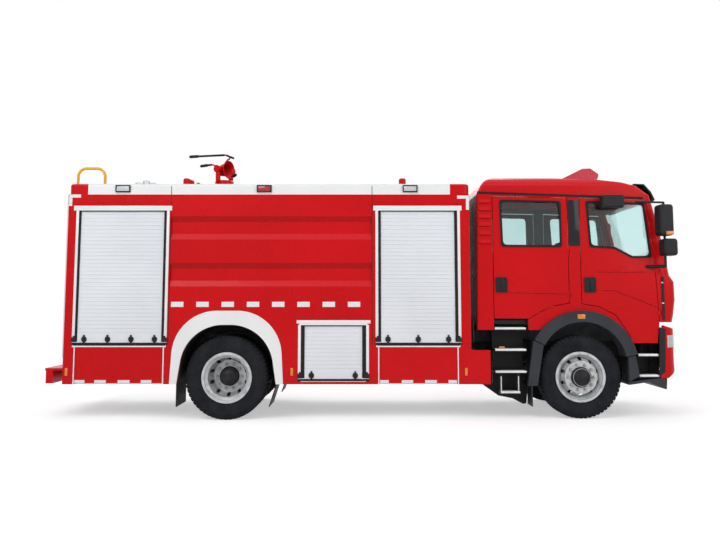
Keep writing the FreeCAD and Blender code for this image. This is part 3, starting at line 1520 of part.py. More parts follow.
def front_bumper():
    height = bumper_side_top_z - bumper_bottom_z
    solid = Part.Face(bumper_plan(0, bumper_bottom_z)).extrude(V(0, 0, height))
    inside = Part.Face(bumper_plan(bumper_wall, bumper_bottom_z - overrun)).extrude(
        V(0, 0, height + 2 * overrun))
    behind = box(front_axle_x, bumper_rear_bottom_x + bumper_wall + overrun, -bumper_half_width + bumper_wall,
                 bumper_half_width - bumper_wall, bumper_bottom_z - overrun, bumper_side_top_z + overrun)
    slope = side_prism([
        (bumper_rear_top_x, bumper_side_top_z), (bumper_front_x + overrun, bumper_top_z - overrun / 3),
        (bumper_front_x + overrun, bumper_side_top_z + overrun), (bumper_rear_top_x, bumper_side_top_z + overrun),
    ], -2 * bumper_half_width, 2 * bumper_half_width)
    lean = side_prism([
        (bumper_rear_bottom_x - overrun, bumper_bottom_z), (bumper_rear_bottom_x, bumper_bottom_z),
        (bumper_rear_top_x, bumper_side_top_z), (bumper_rear_bottom_x - overrun, bumper_side_top_z),
    ], -2 * bumper_half_width, 2 * bumper_half_width)
    low, high = [(front_axle_x + x, z) for x, z in bumper_chamfer]
    under = side_prism([low, high, (high[0] + overrun, high[1]), (high[0] + overrun, low[1] - overrun),
                        (low[0], low[1] - overrun)], -2 * bumper_half_width, 2 * bumper_half_width)
    shell = solid.cut([inside, behind, slope, lean, under])
    beam_half = rail_half_width - rail_flange
    beam = box(rail_front_x, bumper_front_x - bumper_wall, -beam_half, beam_half,
               rail_bottom_z, rail_bottom_z + rail_height / 2)
    shell = shell.cut([headlamp_box(side, 0).common(outer_band()) for side in (-1, 1)])
    return [fuse([shell, beam])]


def outer_band():
    # The outer part of the bumper's wall, as deep as a headlamp is set into it.
    height = bumper_side_top_z - bumper_bottom_z
    solid = Part.Face(bumper_plan(0, bumper_bottom_z)).extrude(V(0, 0, height))
    inside = Part.Face(bumper_plan(headlamp_depth, bumper_bottom_z - overrun)).extrude(
        V(0, 0, height + 2 * overrun))
    return solid.cut(inside)


def headlamps():
    band = outer_band()
    return [max(headlamp_box(side, 0).common(band).Solids, key=lambda solid: solid.Volume) for side in (-1, 1)]


# Cab fittings

def rounded_block(x0, x1, y0, y1, z0, z1, radius):
    block = box(x0, x1, y0, y1, z0, z1)
    return block.makeFillet(radius, block.Edges)


def bevelled_block(x0, x1, y0, y1, z0, z1, bevel):
    block = box(x0, x1, y0, y1, z0, z1)
    return block.makeChamfer(bevel, block.Edges)


def seat(x, y0, y1, rests):
    radius = seat_back_thickness / 4
    top = seat_z
    base = box(x + radius, x + seat_depth - radius, y0 + seat_base_inset, y1 - seat_base_inset, cab_floor_z,
               top - seat_cushion + radius)
    cushion = bevelled_block(x, x + seat_depth, y0, y1, top - seat_cushion, top, radius)
    back_x = x - seat_back_thickness * seat_back_share
    back = bevelled_block(back_x, back_x + seat_back_thickness, y0, y1, top - seat_cushion,
                          top + seat_back_height, radius)
    pieces = [base, cushion, back]
    for y in rests:
        pieces.append(bevelled_block(x - seat_back_thickness / 2, x + seat_back_thickness / 4,
                                     y - headrest_width / 2, y + headrest_width / 2,
                                     top + seat_back_height - radius, top + seat_back_height + headrest_height,
                                     radius))
    return fuse(pieces)


def seats():
    solids = []
    for side in (-1, 1):
        y = side * front_seat_y
        solids.append(seat(front_seat_x, y - seat_width / 2, y + seat_width / 2, (y,)))
    places = [rear_bench_half_width * rear_headrest_share * side for side in (-1, 0, 1)]
    solids.append(seat(rear_seat_x, -rear_bench_half_width, rear_bench_half_width, places))
    return solids


def dashboard():
    # Moulded dash behind the windscreen, and the steering wheel on its column at the left.
    front_x = front_axle_x + front_overhang
    x0 = front_axle_x + front_door_points[1][0] + cab_corner - dash_depth
    half = cab_half_width
    dash = side_prism([
        (front_x, dash_bottom_z), (front_x, dash_top_z - dash_depth / 3),
        (x0 + dash_depth / 4, dash_top_z - dash_depth / 3),
        (x0, dash_top_z - dash_depth / 2), (x0 + dash_depth / 4, dash_bottom_z),
    ], -half, half)
    tilt = math.radians(steering_wheel_tilt)
    hub = V(x0 - steering_wheel_radius / 2, front_seat_y, dash_top_z - dash_depth / 4)
    axis = V(-math.cos(tilt), 0, math.sin(tilt))
    ring = Part.makeTorus(steering_wheel_radius, steering_wheel_tube, hub, axis)
    column = tube_between(2 * steering_wheel_tube, hub, hub - axis * (dash_depth * 0.9))
    across = V(0, steering_wheel_radius, 0)
    down = axis.cross(V(0, 1, 0)) * steering_wheel_radius
    spokes = [tube_between(steering_wheel_tube, hub - across, hub + across),
              tube_between(steering_wheel_tube, hub, hub + down)]
    fitted = fuse([dash, ring, column] + spokes).common(cab_form(cab_wall + seat_gap))
    return [max(fitted.Solids, key=lambda solid: solid.Volume)]


def sun_visor():
    # A bent blade over the windscreen on three webs that stand on the cab's brow.
    form = cab_form(0)
    outer = [(front_axle_x + x, z) for x, z in visor_points]
    under = [(x - visor_thickness, z - visor_thickness) for x, z in reversed(outer)]
    pieces = [side_prism(outer + under, -cab_half_width + cab_corner, cab_half_width - cab_corner)]
    web = outer + [(outer[-1][0] - visor_bracket_reach, outer[-1][1]),
                   (outer[0][0], outer[0][1] - visor_bracket_reach)]
    for side in (-1, 0, 1):
        y = side * cab_half_width * visor_bracket_share
        pieces.append(side_prism(web, y - visor_thickness / 2, y + visor_thickness / 2))
    return max(fuse(pieces).cut(form).Solids, key=lambda solid: solid.Volume)


def front_grille():
    # A thin back plate that follows the cab's bowed nose, with slats standing out from it.
    def region(z0, z1):
        return box(front_axle_x, front_axle_x + front_overhang + overrun, -grille_half_width,
                   grille_half_width, z0, z1)

    plate = cab_form(-grille_back_proud).common(region(grille_bottom_z, grille_top_z))
    slat_form = cab_form(-grille_slat_proud)
    step = (grille_top_z - grille_bottom_z - grille_slat_height) / (grille_slat_count - 1)
    slats = []
    for index in range(grille_slat_count):
        z = grille_bottom_z + step * index
        slats.append(slat_form.common(region(z, z + grille_slat_height)))
    grille = fuse([plate] + slats).cut(cab_form(0))
    return max(grille.Solids, key=lambda solid: solid.Volume)


def cab_front_trim():
    return [sun_visor(), front_grille()]


def light_bar():
    # A wedge-shaped lens across the roof, on two feet that are cut to the roof's curve.
    half = light_bar_half_length
    outline = [(light_bar_x + x, z) for x, z in light_bar_points]
    bar = side_prism(outline, -half, half)
    crown_z = light_bar_points[-2][1] - 1
    ridge = [edge for edge in bar.Edges if edge.BoundBox.ZMin > crown_z and edge.BoundBox.YLength > half]
    bar = bar.makeFillet(light_bar_crown, ridge)
    bottom = light_bar_points[0][1]
    feet = []
    for side in (-1, 1):
        y = side * half * light_bar_foot_share
        foot = box(light_bar_x + light_bar_foot[0], light_bar_x + light_bar_foot[1],
                   y - light_bar_foot_width / 2, y + light_bar_foot_width / 2,
                   bottom - light_bar_foot_depth, bottom)
        feet.append(foot.cut(cab_form(0)))
    return [fuse([bar] + feet)]


def mirror_housing(x, y, z, height):
    return rounded_block(x - mirror_depth / 2, x + mirror_depth / 2, y - mirror_width / 2,
                         y + mirror_width / 2, z - height / 2, z + height / 2, mirror_round)


def mirrors(side):
    # Main and wide-angle housings on one post, held by an arm at the door's top rail and a
    # bracket below its window. The right-hand door also carries the kerb mirror.
    y = -mirror_y
    skin_y = -cab_half_width
    root_y = skin_y + cab_wall / 2
    post_y = y + mirror_width / 4
    post = V(mirror_post_x, post_y, mirror_foot[1])
    post_top = V(mirror_post_x, post_y, mirror_post_top_z)
    pieces = [
        mirror_housing(mirror_x, y, mirror_z, mirror_height),
        mirror_housing(low_mirror_x, y, low_mirror_z, low_mirror_height),
        tube_between(mirror_arm_radius, post - V(0, 0, mirror_foot_radius / 2),
                     post_top + V(0, 0, mirror_arm_radius / 2)),
        tube_between(mirror_top_arm_radius, V(mirror_top_arm[0], root_y, mirror_top_arm[1]), post_top),
        tube_between(mirror_foot_radius, V(mirror_foot[0], root_y, mirror_foot[1]), post),
    ]
    inside = box(front_axle_x, front_axle_x + front_overhang, skin_y, 0, cab_floor_z, cab_levels[-1][0])
    shapes = [fuse(pieces).cut(inside)]
    if side < 0:
        kerb = rounded_block(kerb_mirror_x, kerb_mirror_x + kerb_mirror_width,
                             skin_y - kerb_mirror_depth - mirror_round, skin_y - mirror_round,
                             kerb_mirror_z - kerb_mirror_height / 2, kerb_mirror_z + kerb_mirror_height / 2,
                             mirror_round / 2)
        mid = kerb_mirror_x + kerb_mirror_width / 2
        arm = tube_between(mirror_arm_radius, V(mid, skin_y, kerb_mirror_arm_z),
                           V(mid, skin_y - kerb_mirror_depth / 2, kerb_mirror_arm_z))
        shapes.append(fuse([kerb, arm]))
    return shapes if side < 0 else [mirrored(shape) for shape in shapes]


nodes = {
    "chassis_frame": chassis_frame(),
    "front_axle_beam": front_axle_beam(),
    "drive_axle": drive_axle(),
    "leaf_springs": leaf_springs(),
    "engine": engine(),
    "chassis_tanks": chassis_tanks(),
    "front_bumper": front_bumper(),
    "headlamps": headlamps(),
    "front_skirts": front_skirts(),
    "entry_steps": entry_steps(),
    "rear_mudguards": rear_mudguards(),
    "rear_bumper": rear_bumper(),
    "rear_lamps": rear_lamps(),
    "side_lamps": side_lamps(),
    "body_sides": body_sides(),
    "body_lockers": body_lockers(),
    "body_core": body_core(),
    "deck_rails": deck_rails(),
    "deck_rail_ends": deck_rail_ends(),
    "shutter_curtains": shutter_curtains(),
    "shutter_frames": shutter_frames(),
    "arch_trims": arch_trims(),
    "ladder": ladder(),
    "ladder_hoop": ladder_hoop(),
    "deck_fittings": deck_fittings(),
    "monitor_base": monitor_base(),
    "monitor_turret": monitor_turret(),
    "monitor_barrel": monitor_barrel(),
    "cab_shell": cab_shell(),
    "windscreen": windscreen(),
    "cab_fenders": cab_fenders(),
    "seats": seats(),
    "dashboard": dashboard(),
    "cab_front_trim": cab_front_trim(),
    "light_bar": light_bar(),
    "tie_rod": tie_rod(),
}
for name, side in (("right", -1), ("left", 1)):
    nodes["knuckle_" + name] = knuckle(side)
    nodes["front_rim_" + name] = front_rim(side)
    nodes["front_tyre_" + name] = front_tyre(side)
    nodes["rear_rims_" + name] = rear_rims(side)
    nodes["rear_tyres_" + name] = rear_tyres(side)
    nodes["flap_rear_" + name] = flap(rear_bay, side)
    nodes["flap_front_" + name] = flap(front_bay, side)
    nodes["front_door_" + name] = front_door(side)
    nodes["front_glass_" + name] = door_glass(front_window_points, side)
    nodes["rear_door_" + name] = rear_door(side)
    nodes["rear_glass_" + name] = door_glass(rear_window_points, side)
    nodes["mirrors_" + name] = mirrors(side)

os.makedirs("parts", exist_ok=True)
for node, solids in nodes.items():
    shape = solids[0] if len(solids) == 1 else Part.makeCompound(solids)
    shape.exportStep("parts/" + node + ".step")
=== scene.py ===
import json
import math

import bmesh
import bpy
from mathutils import Matrix, Vector


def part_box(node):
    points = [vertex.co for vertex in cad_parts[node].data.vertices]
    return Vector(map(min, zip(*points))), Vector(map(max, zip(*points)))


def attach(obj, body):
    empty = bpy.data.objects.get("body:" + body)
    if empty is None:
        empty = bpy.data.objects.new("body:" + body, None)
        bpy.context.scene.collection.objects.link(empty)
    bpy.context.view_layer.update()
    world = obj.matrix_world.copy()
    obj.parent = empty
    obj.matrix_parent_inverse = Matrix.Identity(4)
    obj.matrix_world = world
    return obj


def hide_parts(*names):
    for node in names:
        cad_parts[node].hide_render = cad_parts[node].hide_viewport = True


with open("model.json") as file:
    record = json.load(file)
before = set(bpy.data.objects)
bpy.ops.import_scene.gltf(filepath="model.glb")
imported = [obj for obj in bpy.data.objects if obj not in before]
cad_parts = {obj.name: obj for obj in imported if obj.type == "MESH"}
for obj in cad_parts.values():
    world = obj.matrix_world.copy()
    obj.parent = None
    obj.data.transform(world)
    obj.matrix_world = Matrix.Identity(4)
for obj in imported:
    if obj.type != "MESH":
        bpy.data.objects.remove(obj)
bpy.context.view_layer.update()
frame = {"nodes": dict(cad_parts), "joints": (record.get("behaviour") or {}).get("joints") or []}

# Ladder frame and its cross tubes
# Two pressed steel channels joined by round cross tubes, painted black and dulled by road dust.
# The fire body stands on them and the cab tilts on the pin at their front ends.


def new_finish(name, colour, roughness, metallic=0.0, coat=0.0, shine=0.2):
    material = bpy.data.materials.new(name)
    material.use_nodes = True
    shader = material.node_tree.nodes["Principled BSDF"]
    shader.inputs["Base Color"].default_value = (*colour, 1.0)
    shader.inputs["Roughness"].default_value = roughness
    shader.inputs["Metallic"].default_value = metallic
    shader.inputs["Coat Weight"].default_value = coat
    shader.inputs["Coat Roughness"].default_value = 0.06
    shader.inputs["Specular IOR Level"].default_value = shine
    return material


def shader_of(material):
    return material.node_tree.nodes["Principled BSDF"]


def place_of(material):
    return material.node_tree.nodes.new("ShaderNodeTexCoord").outputs["Object"]


def blotches(material, scale, detail=4.0, stretch=(1.0, 1.0, 1.0)):
    # A cloudy pattern fixed to the piece, from 0 to 1.
    tree = material.node_tree
    stretched = worked_out(tree, "MULTIPLY", place_of(material), stretch, "VectorMath")
    noise = tree.nodes.new("ShaderNodeTexNoise")
    noise.inputs["Scale"].default_value = scale
    noise.inputs["Detail"].default_value = detail
    tree.links.new(stretched, noise.inputs["Vector"])
    return noise.outputs["Fac"]


def cells(material, scale, randomness=1.0, feature="F1"):
    # Small cells fixed to the piece, as the distance from a cell's middle or from its edge.
    tree = material.node_tree
    grid = tree.nodes.new("ShaderNodeTexVoronoi")
    grid.feature = feature
    grid.inputs["Scale"].default_value = scale
    grid.inputs["Randomness"].default_value = randomness
    tree.links.new(place_of(material), grid.inputs["Vector"])
    return grid.outputs["Distance"]


def ripples(material, scale, distortion=0.0):
    # Fine lines side by side, fixed to the piece.
    tree = material.node_tree
    wave = tree.nodes.new("ShaderNodeTexWave")
    wave.inputs["Scale"].default_value = scale
    wave.inputs["Distortion"].default_value = distortion
    tree.links.new(place_of(material), wave.inputs["Vector"])
    return wave.outputs["Fac"]


def spread(material, pattern, low, high, start=0.3, end=0.7):
    tree = material.node_tree
    ranged = tree.nodes.new("ShaderNodeMapRange")
    ranged.inputs["From Min"].default_value = start
    ranged.inputs["From Max"].default_value = end
    ranged.inputs["To Min"].default_value = low
    ranged.inputs["To Max"].default_value = high
    tree.links.new(pattern, ranged.inputs["Value"])
    return ranged.outputs["Result"]


def vary_roughness(material, pattern, low, high):
    tree = material.node_tree
    tree.links.new(spread(material, pattern, low, high), shader_of(material).inputs["Roughness"])


def vary_colour(material, pattern, first, second, start=0.3, end=0.7):
    tree = material.node_tree
    ramp = tree.nodes.new("ShaderNodeValToRGB")
    ramp.color_ramp.elements[0].position = start
    ramp.color_ramp.elements[0].color = (*first, 1.0)
    ramp.color_ramp.elements[1].position = end
    ramp.color_ramp.elements[1].color = (*second, 1.0)
    tree.links.new(pattern, ramp.inputs["Fac"])
    tree.links.new(ramp.outputs["Color"], shader_of(material).inputs["Base Color"])


def raise_surface(material, pattern, strength, distance):
    tree = material.node_tree
    bump = tree.nodes.new("ShaderNodeBump")
    bump.inputs["Strength"].default_value = strength
    bump.inputs["Distance"].default_value = distance
    tree.links.new(pattern, bump.inputs["Height"])
    tree.links.new(bump.outputs["Normal"], shader_of(material).inputs["Normal"])


def worn_finish(name, colour, roughness, patches=None, dulling=None, grain=None, **more):
    # A finish whose colour, roughness and relief vary over the piece. Each of the three starts
    # with the blotches that it follows: their scale, and then their detail and stretch.
    material = new_finish(name, colour, roughness, **more)
    if patches:
        vary_colour(material, blotches(material, *patches[0]), *patches[1:])
    if dulling:
        vary_roughness(material, blotches(material, *dulling[0]), *dulling[1:])
    if grain:
        raise_surface(material, blotches(material, *grain[0]), *grain[1:])
    return material


def mix_colour(material, share, second):
    # Lays a second colour over what already feeds the base colour, by a share from 0 to 1.
    tree = material.node_tree
    socket = shader_of(material).inputs["Base Color"]
    mix = tree.nodes.new("ShaderNodeMix")
    mix.data_type = "RGBA"
    mix.inputs["B"].default_value = (*second, 1.0)
    tree.links.new(share, mix.inputs["Factor"])
    tree.links.new(socket.links[0].from_socket, mix.inputs["A"])
    tree.links.new(mix.outputs["Result"], socket)


def worked_out(tree, operation, first, second=None, kind="Math"):
    # One step of a sum in a material. Each side of it is a socket or a value of its own.
    node = tree.nodes.new("ShaderNode" + kind)
    node.operation = operation
    for index, value in enumerate((first, second)):
        if isinstance(value, bpy.types.NodeSocket):
            tree.links.new(value, node.inputs[index])
        elif value is not None:
            node.inputs[index].default_value = value
    return node.outputs["Value" if kind == "Math" or operation == "LENGTH" else "Vector"]


def within(material, low, high):
    # One inside a box that is fixed to the piece, nought outside it.
    tree = material.node_tree
    middle = (Vector(low) + Vector(high)) / 2
    half = (Vector(high) - Vector(low)) / 2
    point = worked_out(tree, "SUBTRACT", place_of(material), middle, "VectorMath")
    point = worked_out(tree, "ABSOLUTE", point, None, "VectorMath")
    point = worked_out(tree, "DIVIDE", point, half, "VectorMath")
    split = tree.nodes.new("ShaderNodeSeparateXYZ")
    tree.links.new(point, split.inputs["Vector"])
    reach = worked_out(tree, "MAXIMUM", split.outputs["X"], split.outputs["Y"])
    reach = worked_out(tree, "MAXIMUM", reach, split.outputs["Z"])
    return worked_out(tree, "LESS_THAN", reach, 1.0)


def facing_up(material, low, high, start, end):
    # How far the surface leans back towards the sky, fixed to the piece.
    tree = material.node_tree
    split = tree.nodes.new("ShaderNodeSeparateXYZ")
    tree.links.new(tree.nodes.new("ShaderNodeTexCoord").outputs["Normal"], split.inputs["Vector"])
    return spread(material, split.outputs["Z"], low, high, start, end)


def dress(material, *names):
    for name in names:
        for slot in frame["nodes"][name].material_slots:
            slot.material = material


black_paint = worn_finish("black_chassis_paint", (0.012, 0.012, 0.013), 0.5,
                          patches=((2.6,), (0.010, 0.010, 0.011), (0.030, 0.028, 0.026)),
                          dulling=((14.0,), 0.42, 0.7), grain=((160.0,), 0.12, 0.001))
dress(black_paint, "chassis_frame", "rear_mudguards")

# Axles and steering
# A forged front beam with its knuckles and tie rod, and a cast rear axle with its propeller shaft.
# Both are left as rough castings under black paint.

rough_iron = worn_finish("black_cast_iron", (0.02, 0.02, 0.022), 0.6, metallic=0.3,
                         patches=((7.0,), (0.014, 0.014, 0.015), (0.045, 0.040, 0.036)),
                         dulling=((20.0,), 0.5, 0.78), grain=((240.0, 6.0), 0.3, 0.002))
dress(rough_iron, "front_axle_beam", "drive_axle", "knuckle_right", "knuckle_left", "tie_rod")

# Leaf springs
# Packs of flat spring steel held by forged hangers, with a thin brown bloom on the leaves.

along_leaf = (0.3, 1.0, 1.0)
brushed_leaf = (0.15, 1.0, 1.0)
spring_steel = worn_finish("oiled_spring_steel", (0.05, 0.05, 0.052), 0.5, metallic=0.7,
                           patches=((9.0, 4.0, along_leaf), (0.030, 0.030, 0.032), (0.085, 0.062, 0.048)),
                           grain=((90.0, 4.0, brushed_leaf), 0.2, 0.001))
dress(spring_steel, "leaf_springs")

# Engine and tanks
# One cast block stands for the engine and gearbox, painted grey. The fuel and air tanks on the
# rails are aluminium, brushed along their length.


def brushed_alloy(name, colour, brush=(0.02, 1.0, 1.0), roughness=(0.28, 0.42)):
    material = new_finish(name, colour, roughness[0], metallic=0.85)
    lines = blotches(material, 300.0, detail=2.0, stretch=brush)
    vary_roughness(material, lines, *roughness)
    raise_surface(material, lines, 0.08, 0.0006)
    return material


engine_paint = worn_finish("engine_grey", (0.14, 0.15, 0.16), 0.5,
                           patches=((5.0,), (0.10, 0.11, 0.12), (0.19, 0.20, 0.21)),
                           grain=((120.0, 6.0), 0.35, 0.002))
tank_alloy = brushed_alloy("tank_alloy", (0.55, 0.56, 0.58))
dress(engine_paint, "engine")
dress(tank_alloy, "chassis_tanks")

# Wheels
# Pressed steel discs with ten hand holes, welded into silver rims and held by ten hexagon nuts.
# The hubs in their middle are black iron, with a bolted cap.

joint_place = {joint["name"]: Vector(joint["pos_m"]) for joint in frame["joints"]}
front_axle_x = joint_place["steer_right"].x
rear_axle_x = joint_place["rear_wheels_right_spin"].x
axle_z = joint_place["steer_right"].z
SIDES = (("right", -1), ("left", 1))
nut_count = 10
nut_circle = 0.160
nut_radius = 0.0175
nut_height = 0.026
stud_radius = 0.011
washer_height = 0.004
stud_height = nut_height * 1.5
cap_bolt_count = 8
cap_bolt_radius = 0.0075
cap_bolt_height = 0.014
front_cap_radius = 0.116
rear_cap_radius = 0.112
rear_cap_reach = 0.151


def new_piece(name, bm, material, body, smooth_angle=32):
    # Turns a finished bmesh into a piece of its own that rides on a body.
    mesh = bpy.data.meshes.new(name)
    bmesh.ops.recalc_face_normals(bm, faces=bm.faces)
    bm.to_mesh(mesh)
    bm.free()
    mesh.shade_smooth()
    mesh.set_sharp_from_angle(angle=math.radians(smooth_angle))
    made = bpy.data.objects.new(name, mesh)
    bpy.context.scene.collection.objects.link(made)
    made.data.materials.append(material)
    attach(made, body)
    return made


def add_rod(bm, start, end, radius, sides=16, end_radius=None):
    axis = Vector(end) - Vector(start)
    turn = axis.to_track_quat("Z", "Y").to_matrix().to_4x4()
    middle = Matrix.Translation((Vector(start) + Vector(end)) / 2)
    bmesh.ops.create_cone(bm, cap_ends=True, segments=sides, radius1=radius,
                          radius2=radius if end_radius is None else end_radius,
                          depth=axis.length, matrix=middle @ turn)


def join_rings(bm, first, second):
    # A band of faces between two closed rings of points.
    for here in range(len(first)):
        there = (here + 1) % len(first)
        bm.faces.new((first[here], first[there], second[there], second[here]))


def add_prism(bm, first, second):
    join_rings(bm, first, second)
    bm.faces.new(first)
    bm.faces.new(second)


def add_lathe(bm, outline, centre, steps=64, upright=False):
    # A closed outline of (radius, distance along) turned about the wheel's axle, or about an
    # upright line.
    rings = []
    for index in range(steps):
        turn = 2 * math.pi * index / steps
        ring = []
        for r, along in outline:
            across = r * math.cos(turn)
            other = r * math.sin(turn)
            place = (across, other, along) if upright else (across, along, other)
            ring.append(bm.verts.new(centre + Vector(place)))
        rings.append(ring)
    for index, ring in enumerate(rings):
        join_rings(bm, ring, rings[(index + 1) % steps])


def wheel_paint(name, colour, dirt):
    material = new_finish(name, colour, 0.4, metallic=0.35, shine=0.25)
    vary_colour(material, blotches(material, 11.0, detail=6.0), colour, dirt, 0.45, 0.75)
    vary_roughness(material, blotches(material, 30.0), 0.32, 0.55)
    raise_surface(material, blotches(material, 420.0), 0.1, 0.0005)
    return material


def wheel_nuts(centre_x, sign, face_y):
    bm = bmesh.new()
    for index in range(nut_count):
        turn = 2 * math.pi * index / nut_count
        x = centre_x + nut_circle * math.cos(turn)
        z = axle_z + nut_circle * math.sin(turn)
        start = Vector((x, sign * face_y, z))
        out = Vector((0, sign, 0))
        add_rod(bm, start, start + out * washer_height, nut_radius * 1.3, 20)
        add_rod(bm, start, start + out * nut_height, nut_radius, 6)
        add_rod(bm, start, start + out * stud_height, stud_radius, 12, stud_radius * 0.8)
    return bm


def hub_cap(centre_x, sign, root_y, tip_y, radius):
    # A stepped cap with a raised middle, a flange at its root and a ring of bolts.
    bm = bmesh.new()
    centre = Vector((centre_x, 0, axle_z))
    outline = [(0.001, tip_y - 0.004), (0.001, tip_y + 0.012), (radius * 0.45, tip_y + 0.012),
               (radius * 0.52, tip_y + 0.007), (radius * 0.88, tip_y + 0.005),
               (radius * 0.98, tip_y - 0.006), (radius + 0.0012, root_y + 0.030),
               (radius + 0.012, root_y + 0.022), (radius + 0.013, root_y + 0.0005),
               (radius - 0.004, root_y + 0.0005), (radius - 0.006, tip_y - 0.03)]
    add_lathe(bm, [(r, sign * along) for r, along in outline], centre, 48)
    for index in range(cap_bolt_count):
        turn = 2 * math.pi * (index + 0.5) / cap_bolt_count
        reach = radius * 0.78
        start = Vector((centre_x + reach * math.cos(turn), sign * (tip_y + 0.001),
                        axle_z + reach * math.sin(turn)))
        add_rod(bm, start, start + Vector((0, sign * cap_bolt_height, 0)), cap_bolt_radius, 6)
    return bm


silver_wheel = wheel_paint("silver_wheel_paint", (0.56, 0.58, 0.59), (0.34, 0.34, 0.33))
nut_steel = wheel_paint("zinc_nut_steel", (0.42, 0.42, 0.42), (0.24, 0.22, 0.20))
hub_black = wheel_paint("black_hub_paint", (0.012, 0.012, 0.016), (0.030, 0.028, 0.026))
front_face_y = joint_place["front_wheel_left_spin"].y + 0.146
rear_face_y = joint_place["rear_wheels_left_spin"].y + 0.014
for side, sign in SIDES:
    dress(silver_wheel, "front_rim_" + side, "rear_rims_" + side)
    front_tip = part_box("front_rim_" + side)[0 if sign < 0 else 1].y * sign
    new_piece("front_wheel_nuts_" + side, wheel_nuts(front_axle_x, sign, front_face_y), nut_steel,
              "front_wheel_" + side)
    new_piece("front_hub_cap_" + side, hub_cap(front_axle_x, sign, front_face_y, front_tip, front_cap_radius),
              hub_black, "front_wheel_" + side)
    new_piece("rear_wheel_nuts_" + side, wheel_nuts(rear_axle_x, sign, rear_face_y), nut_steel,
              "rear_wheels_" + side)
    rear_tip = rear_face_y + rear_cap_reach
    new_piece("rear_hub_cap_" + side, hub_cap(rear_axle_x, sign, rear_face_y, rear_tip, rear_cap_radius),
              hub_black, "rear_wheels_" + side)

# Tyres
# Six 22.5 inch truck tyres of black rubber with five rows of tread blocks and a ribbed sidewall.
# Each replaces the plain solid and keeps its form: the grooves are cut in from its tread.

tyre_radius = axle_z
tread_count = 56
groove_depth = 0.014
tyre_profile = (
    (0.3005, 0.1148), (0.3190, 0.1160), (0.3260, 0.1215), (0.3330, 0.1222), (0.3380, 0.1275),
    (0.3700, 0.1375), (0.3990, 0.1445), (0.4250, 0.1468), (0.4500, 0.1447), (0.4560, 0.1462),
    (0.4620, 0.1425), (0.4800, 0.1365), (0.4960, 0.1285), (0.5070, 0.1130),
)
lug_profile = ((tyre_radius - 0.002, 0.1110), (0.5000, 0.1290), (0.4850, 0.1362), (0.4850, 0.1330),
               (0.4990, 0.1230))
tread_rows = ((-0.1120, -0.0720), (-0.0640, -0.0280), (-0.0200, 0.0200), (0.0280, 0.0640), (0.0720, 0.1120))


def add_tread_block(bm, centre, turn, half_turn, y0, y1, skew):
    # One rubber block from the groove's floor up to the running surface.
    low = tyre_radius - groove_depth - 0.003
    corners = []
    for r, inset in ((low, 0.0), (tyre_radius, 0.003)):
        for along, lean in ((y0 + inset, -skew), (y1 - inset, skew)):
            for way in (-1, 1):
                angle = turn + lean + way * (half_turn - inset / tyre_radius)
                corners.append(bm.verts.new((centre.x + r * math.cos(angle), centre.y + along,
                                             centre.z + r * math.sin(angle))))
    a, b, c, d, e, f, g, h = corners
    for quad in ((e, f, h, g), (a, b, f, e), (c, d, h, g), (a, c, g, e), (b, d, h, f)):
        bm.faces.new(quad)


def add_shoulder_lug(bm, centre, turn, half_turn, sign):
    # The outer block's root runs down the shoulder as a low lug.
    ends = []
    for way in (-1, 1):
        angle = turn + way * half_turn
        ends.append([bm.verts.new((centre.x + r * math.cos(angle), centre.y + sign * along,
                                   centre.z + r * math.sin(angle))) for r, along in lug_profile])
    add_prism(bm, *ends)


def add_tyre(bm, centre):
    outline = list(tyre_profile) + [(r, -along) for r, along in reversed(tyre_profile)]
    add_lathe(bm, outline, centre, 96)
    half_turn = math.pi / tread_count * 0.80
    for index in range(tread_count):
        turn = 2 * math.pi * index / tread_count
        for row, (y0, y1) in enumerate(tread_rows):
            shift = math.pi / tread_count * (row % 2)
            skew = (0.010, -0.008, 0.0, 0.008, -0.010)[row]
            add_tread_block(bm, centre, turn + shift, half_turn, y0, y1, skew)
        for sign in (-1, 1):
            add_shoulder_lug(bm, centre, turn + sign * 0.010, half_turn * 0.82, sign)


rubber = worn_finish("black_tyre_rubber", (0.012, 0.013, 0.016), 0.72, shine=0.12,
                     patches=((6.0,), (0.009, 0.010, 0.013), (0.020, 0.021, 0.024)),
                     dulling=((18.0,), 0.6, 0.85), grain=((350.0,), 0.25, 0.0006))
front_wheel_y = joint_place["front_wheel_left_spin"].y
rear_outer_y = rear_face_y + 0.153
twin_spacing = 0.334
for side, sign in SIDES:
    bm = bmesh.new()
    add_tyre(bm, Vector((front_axle_x, sign * front_wheel_y, axle_z)))
    tyre = new_piece("front_tyre_tread_" + side, bm, rubber, "front_wheel_" + side, 24)
    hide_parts("front_tyre_" + side)
    bm = bmesh.new()
    for offset in (0.0, twin_spacing):
        add_tyre(bm, Vector((rear_axle_x, sign * (rear_outer_y - offset), axle_z)))
    tyre = new_piece("rear_tyre_tread_" + side, bm, rubber, "rear_wheels_" + side, 24)
    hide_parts("rear_tyres_" + side)

# Red body panels
# Folded steel sheet in bright red gloss paint with a clear coat, with a faint waviness in it.
# The side panels, the tail, the flaps and the cab share the same paint. Its colour is paler on
# up-facing slopes as a painted highlight and darker on down-facing ones as painted shade.

painted_highlight_red = (0.74, 0.035, 0.050)
painted_shade_red = (0.26, 0.0020, 0.0035)
dark_trim = (0.030, 0.042, 0.050)


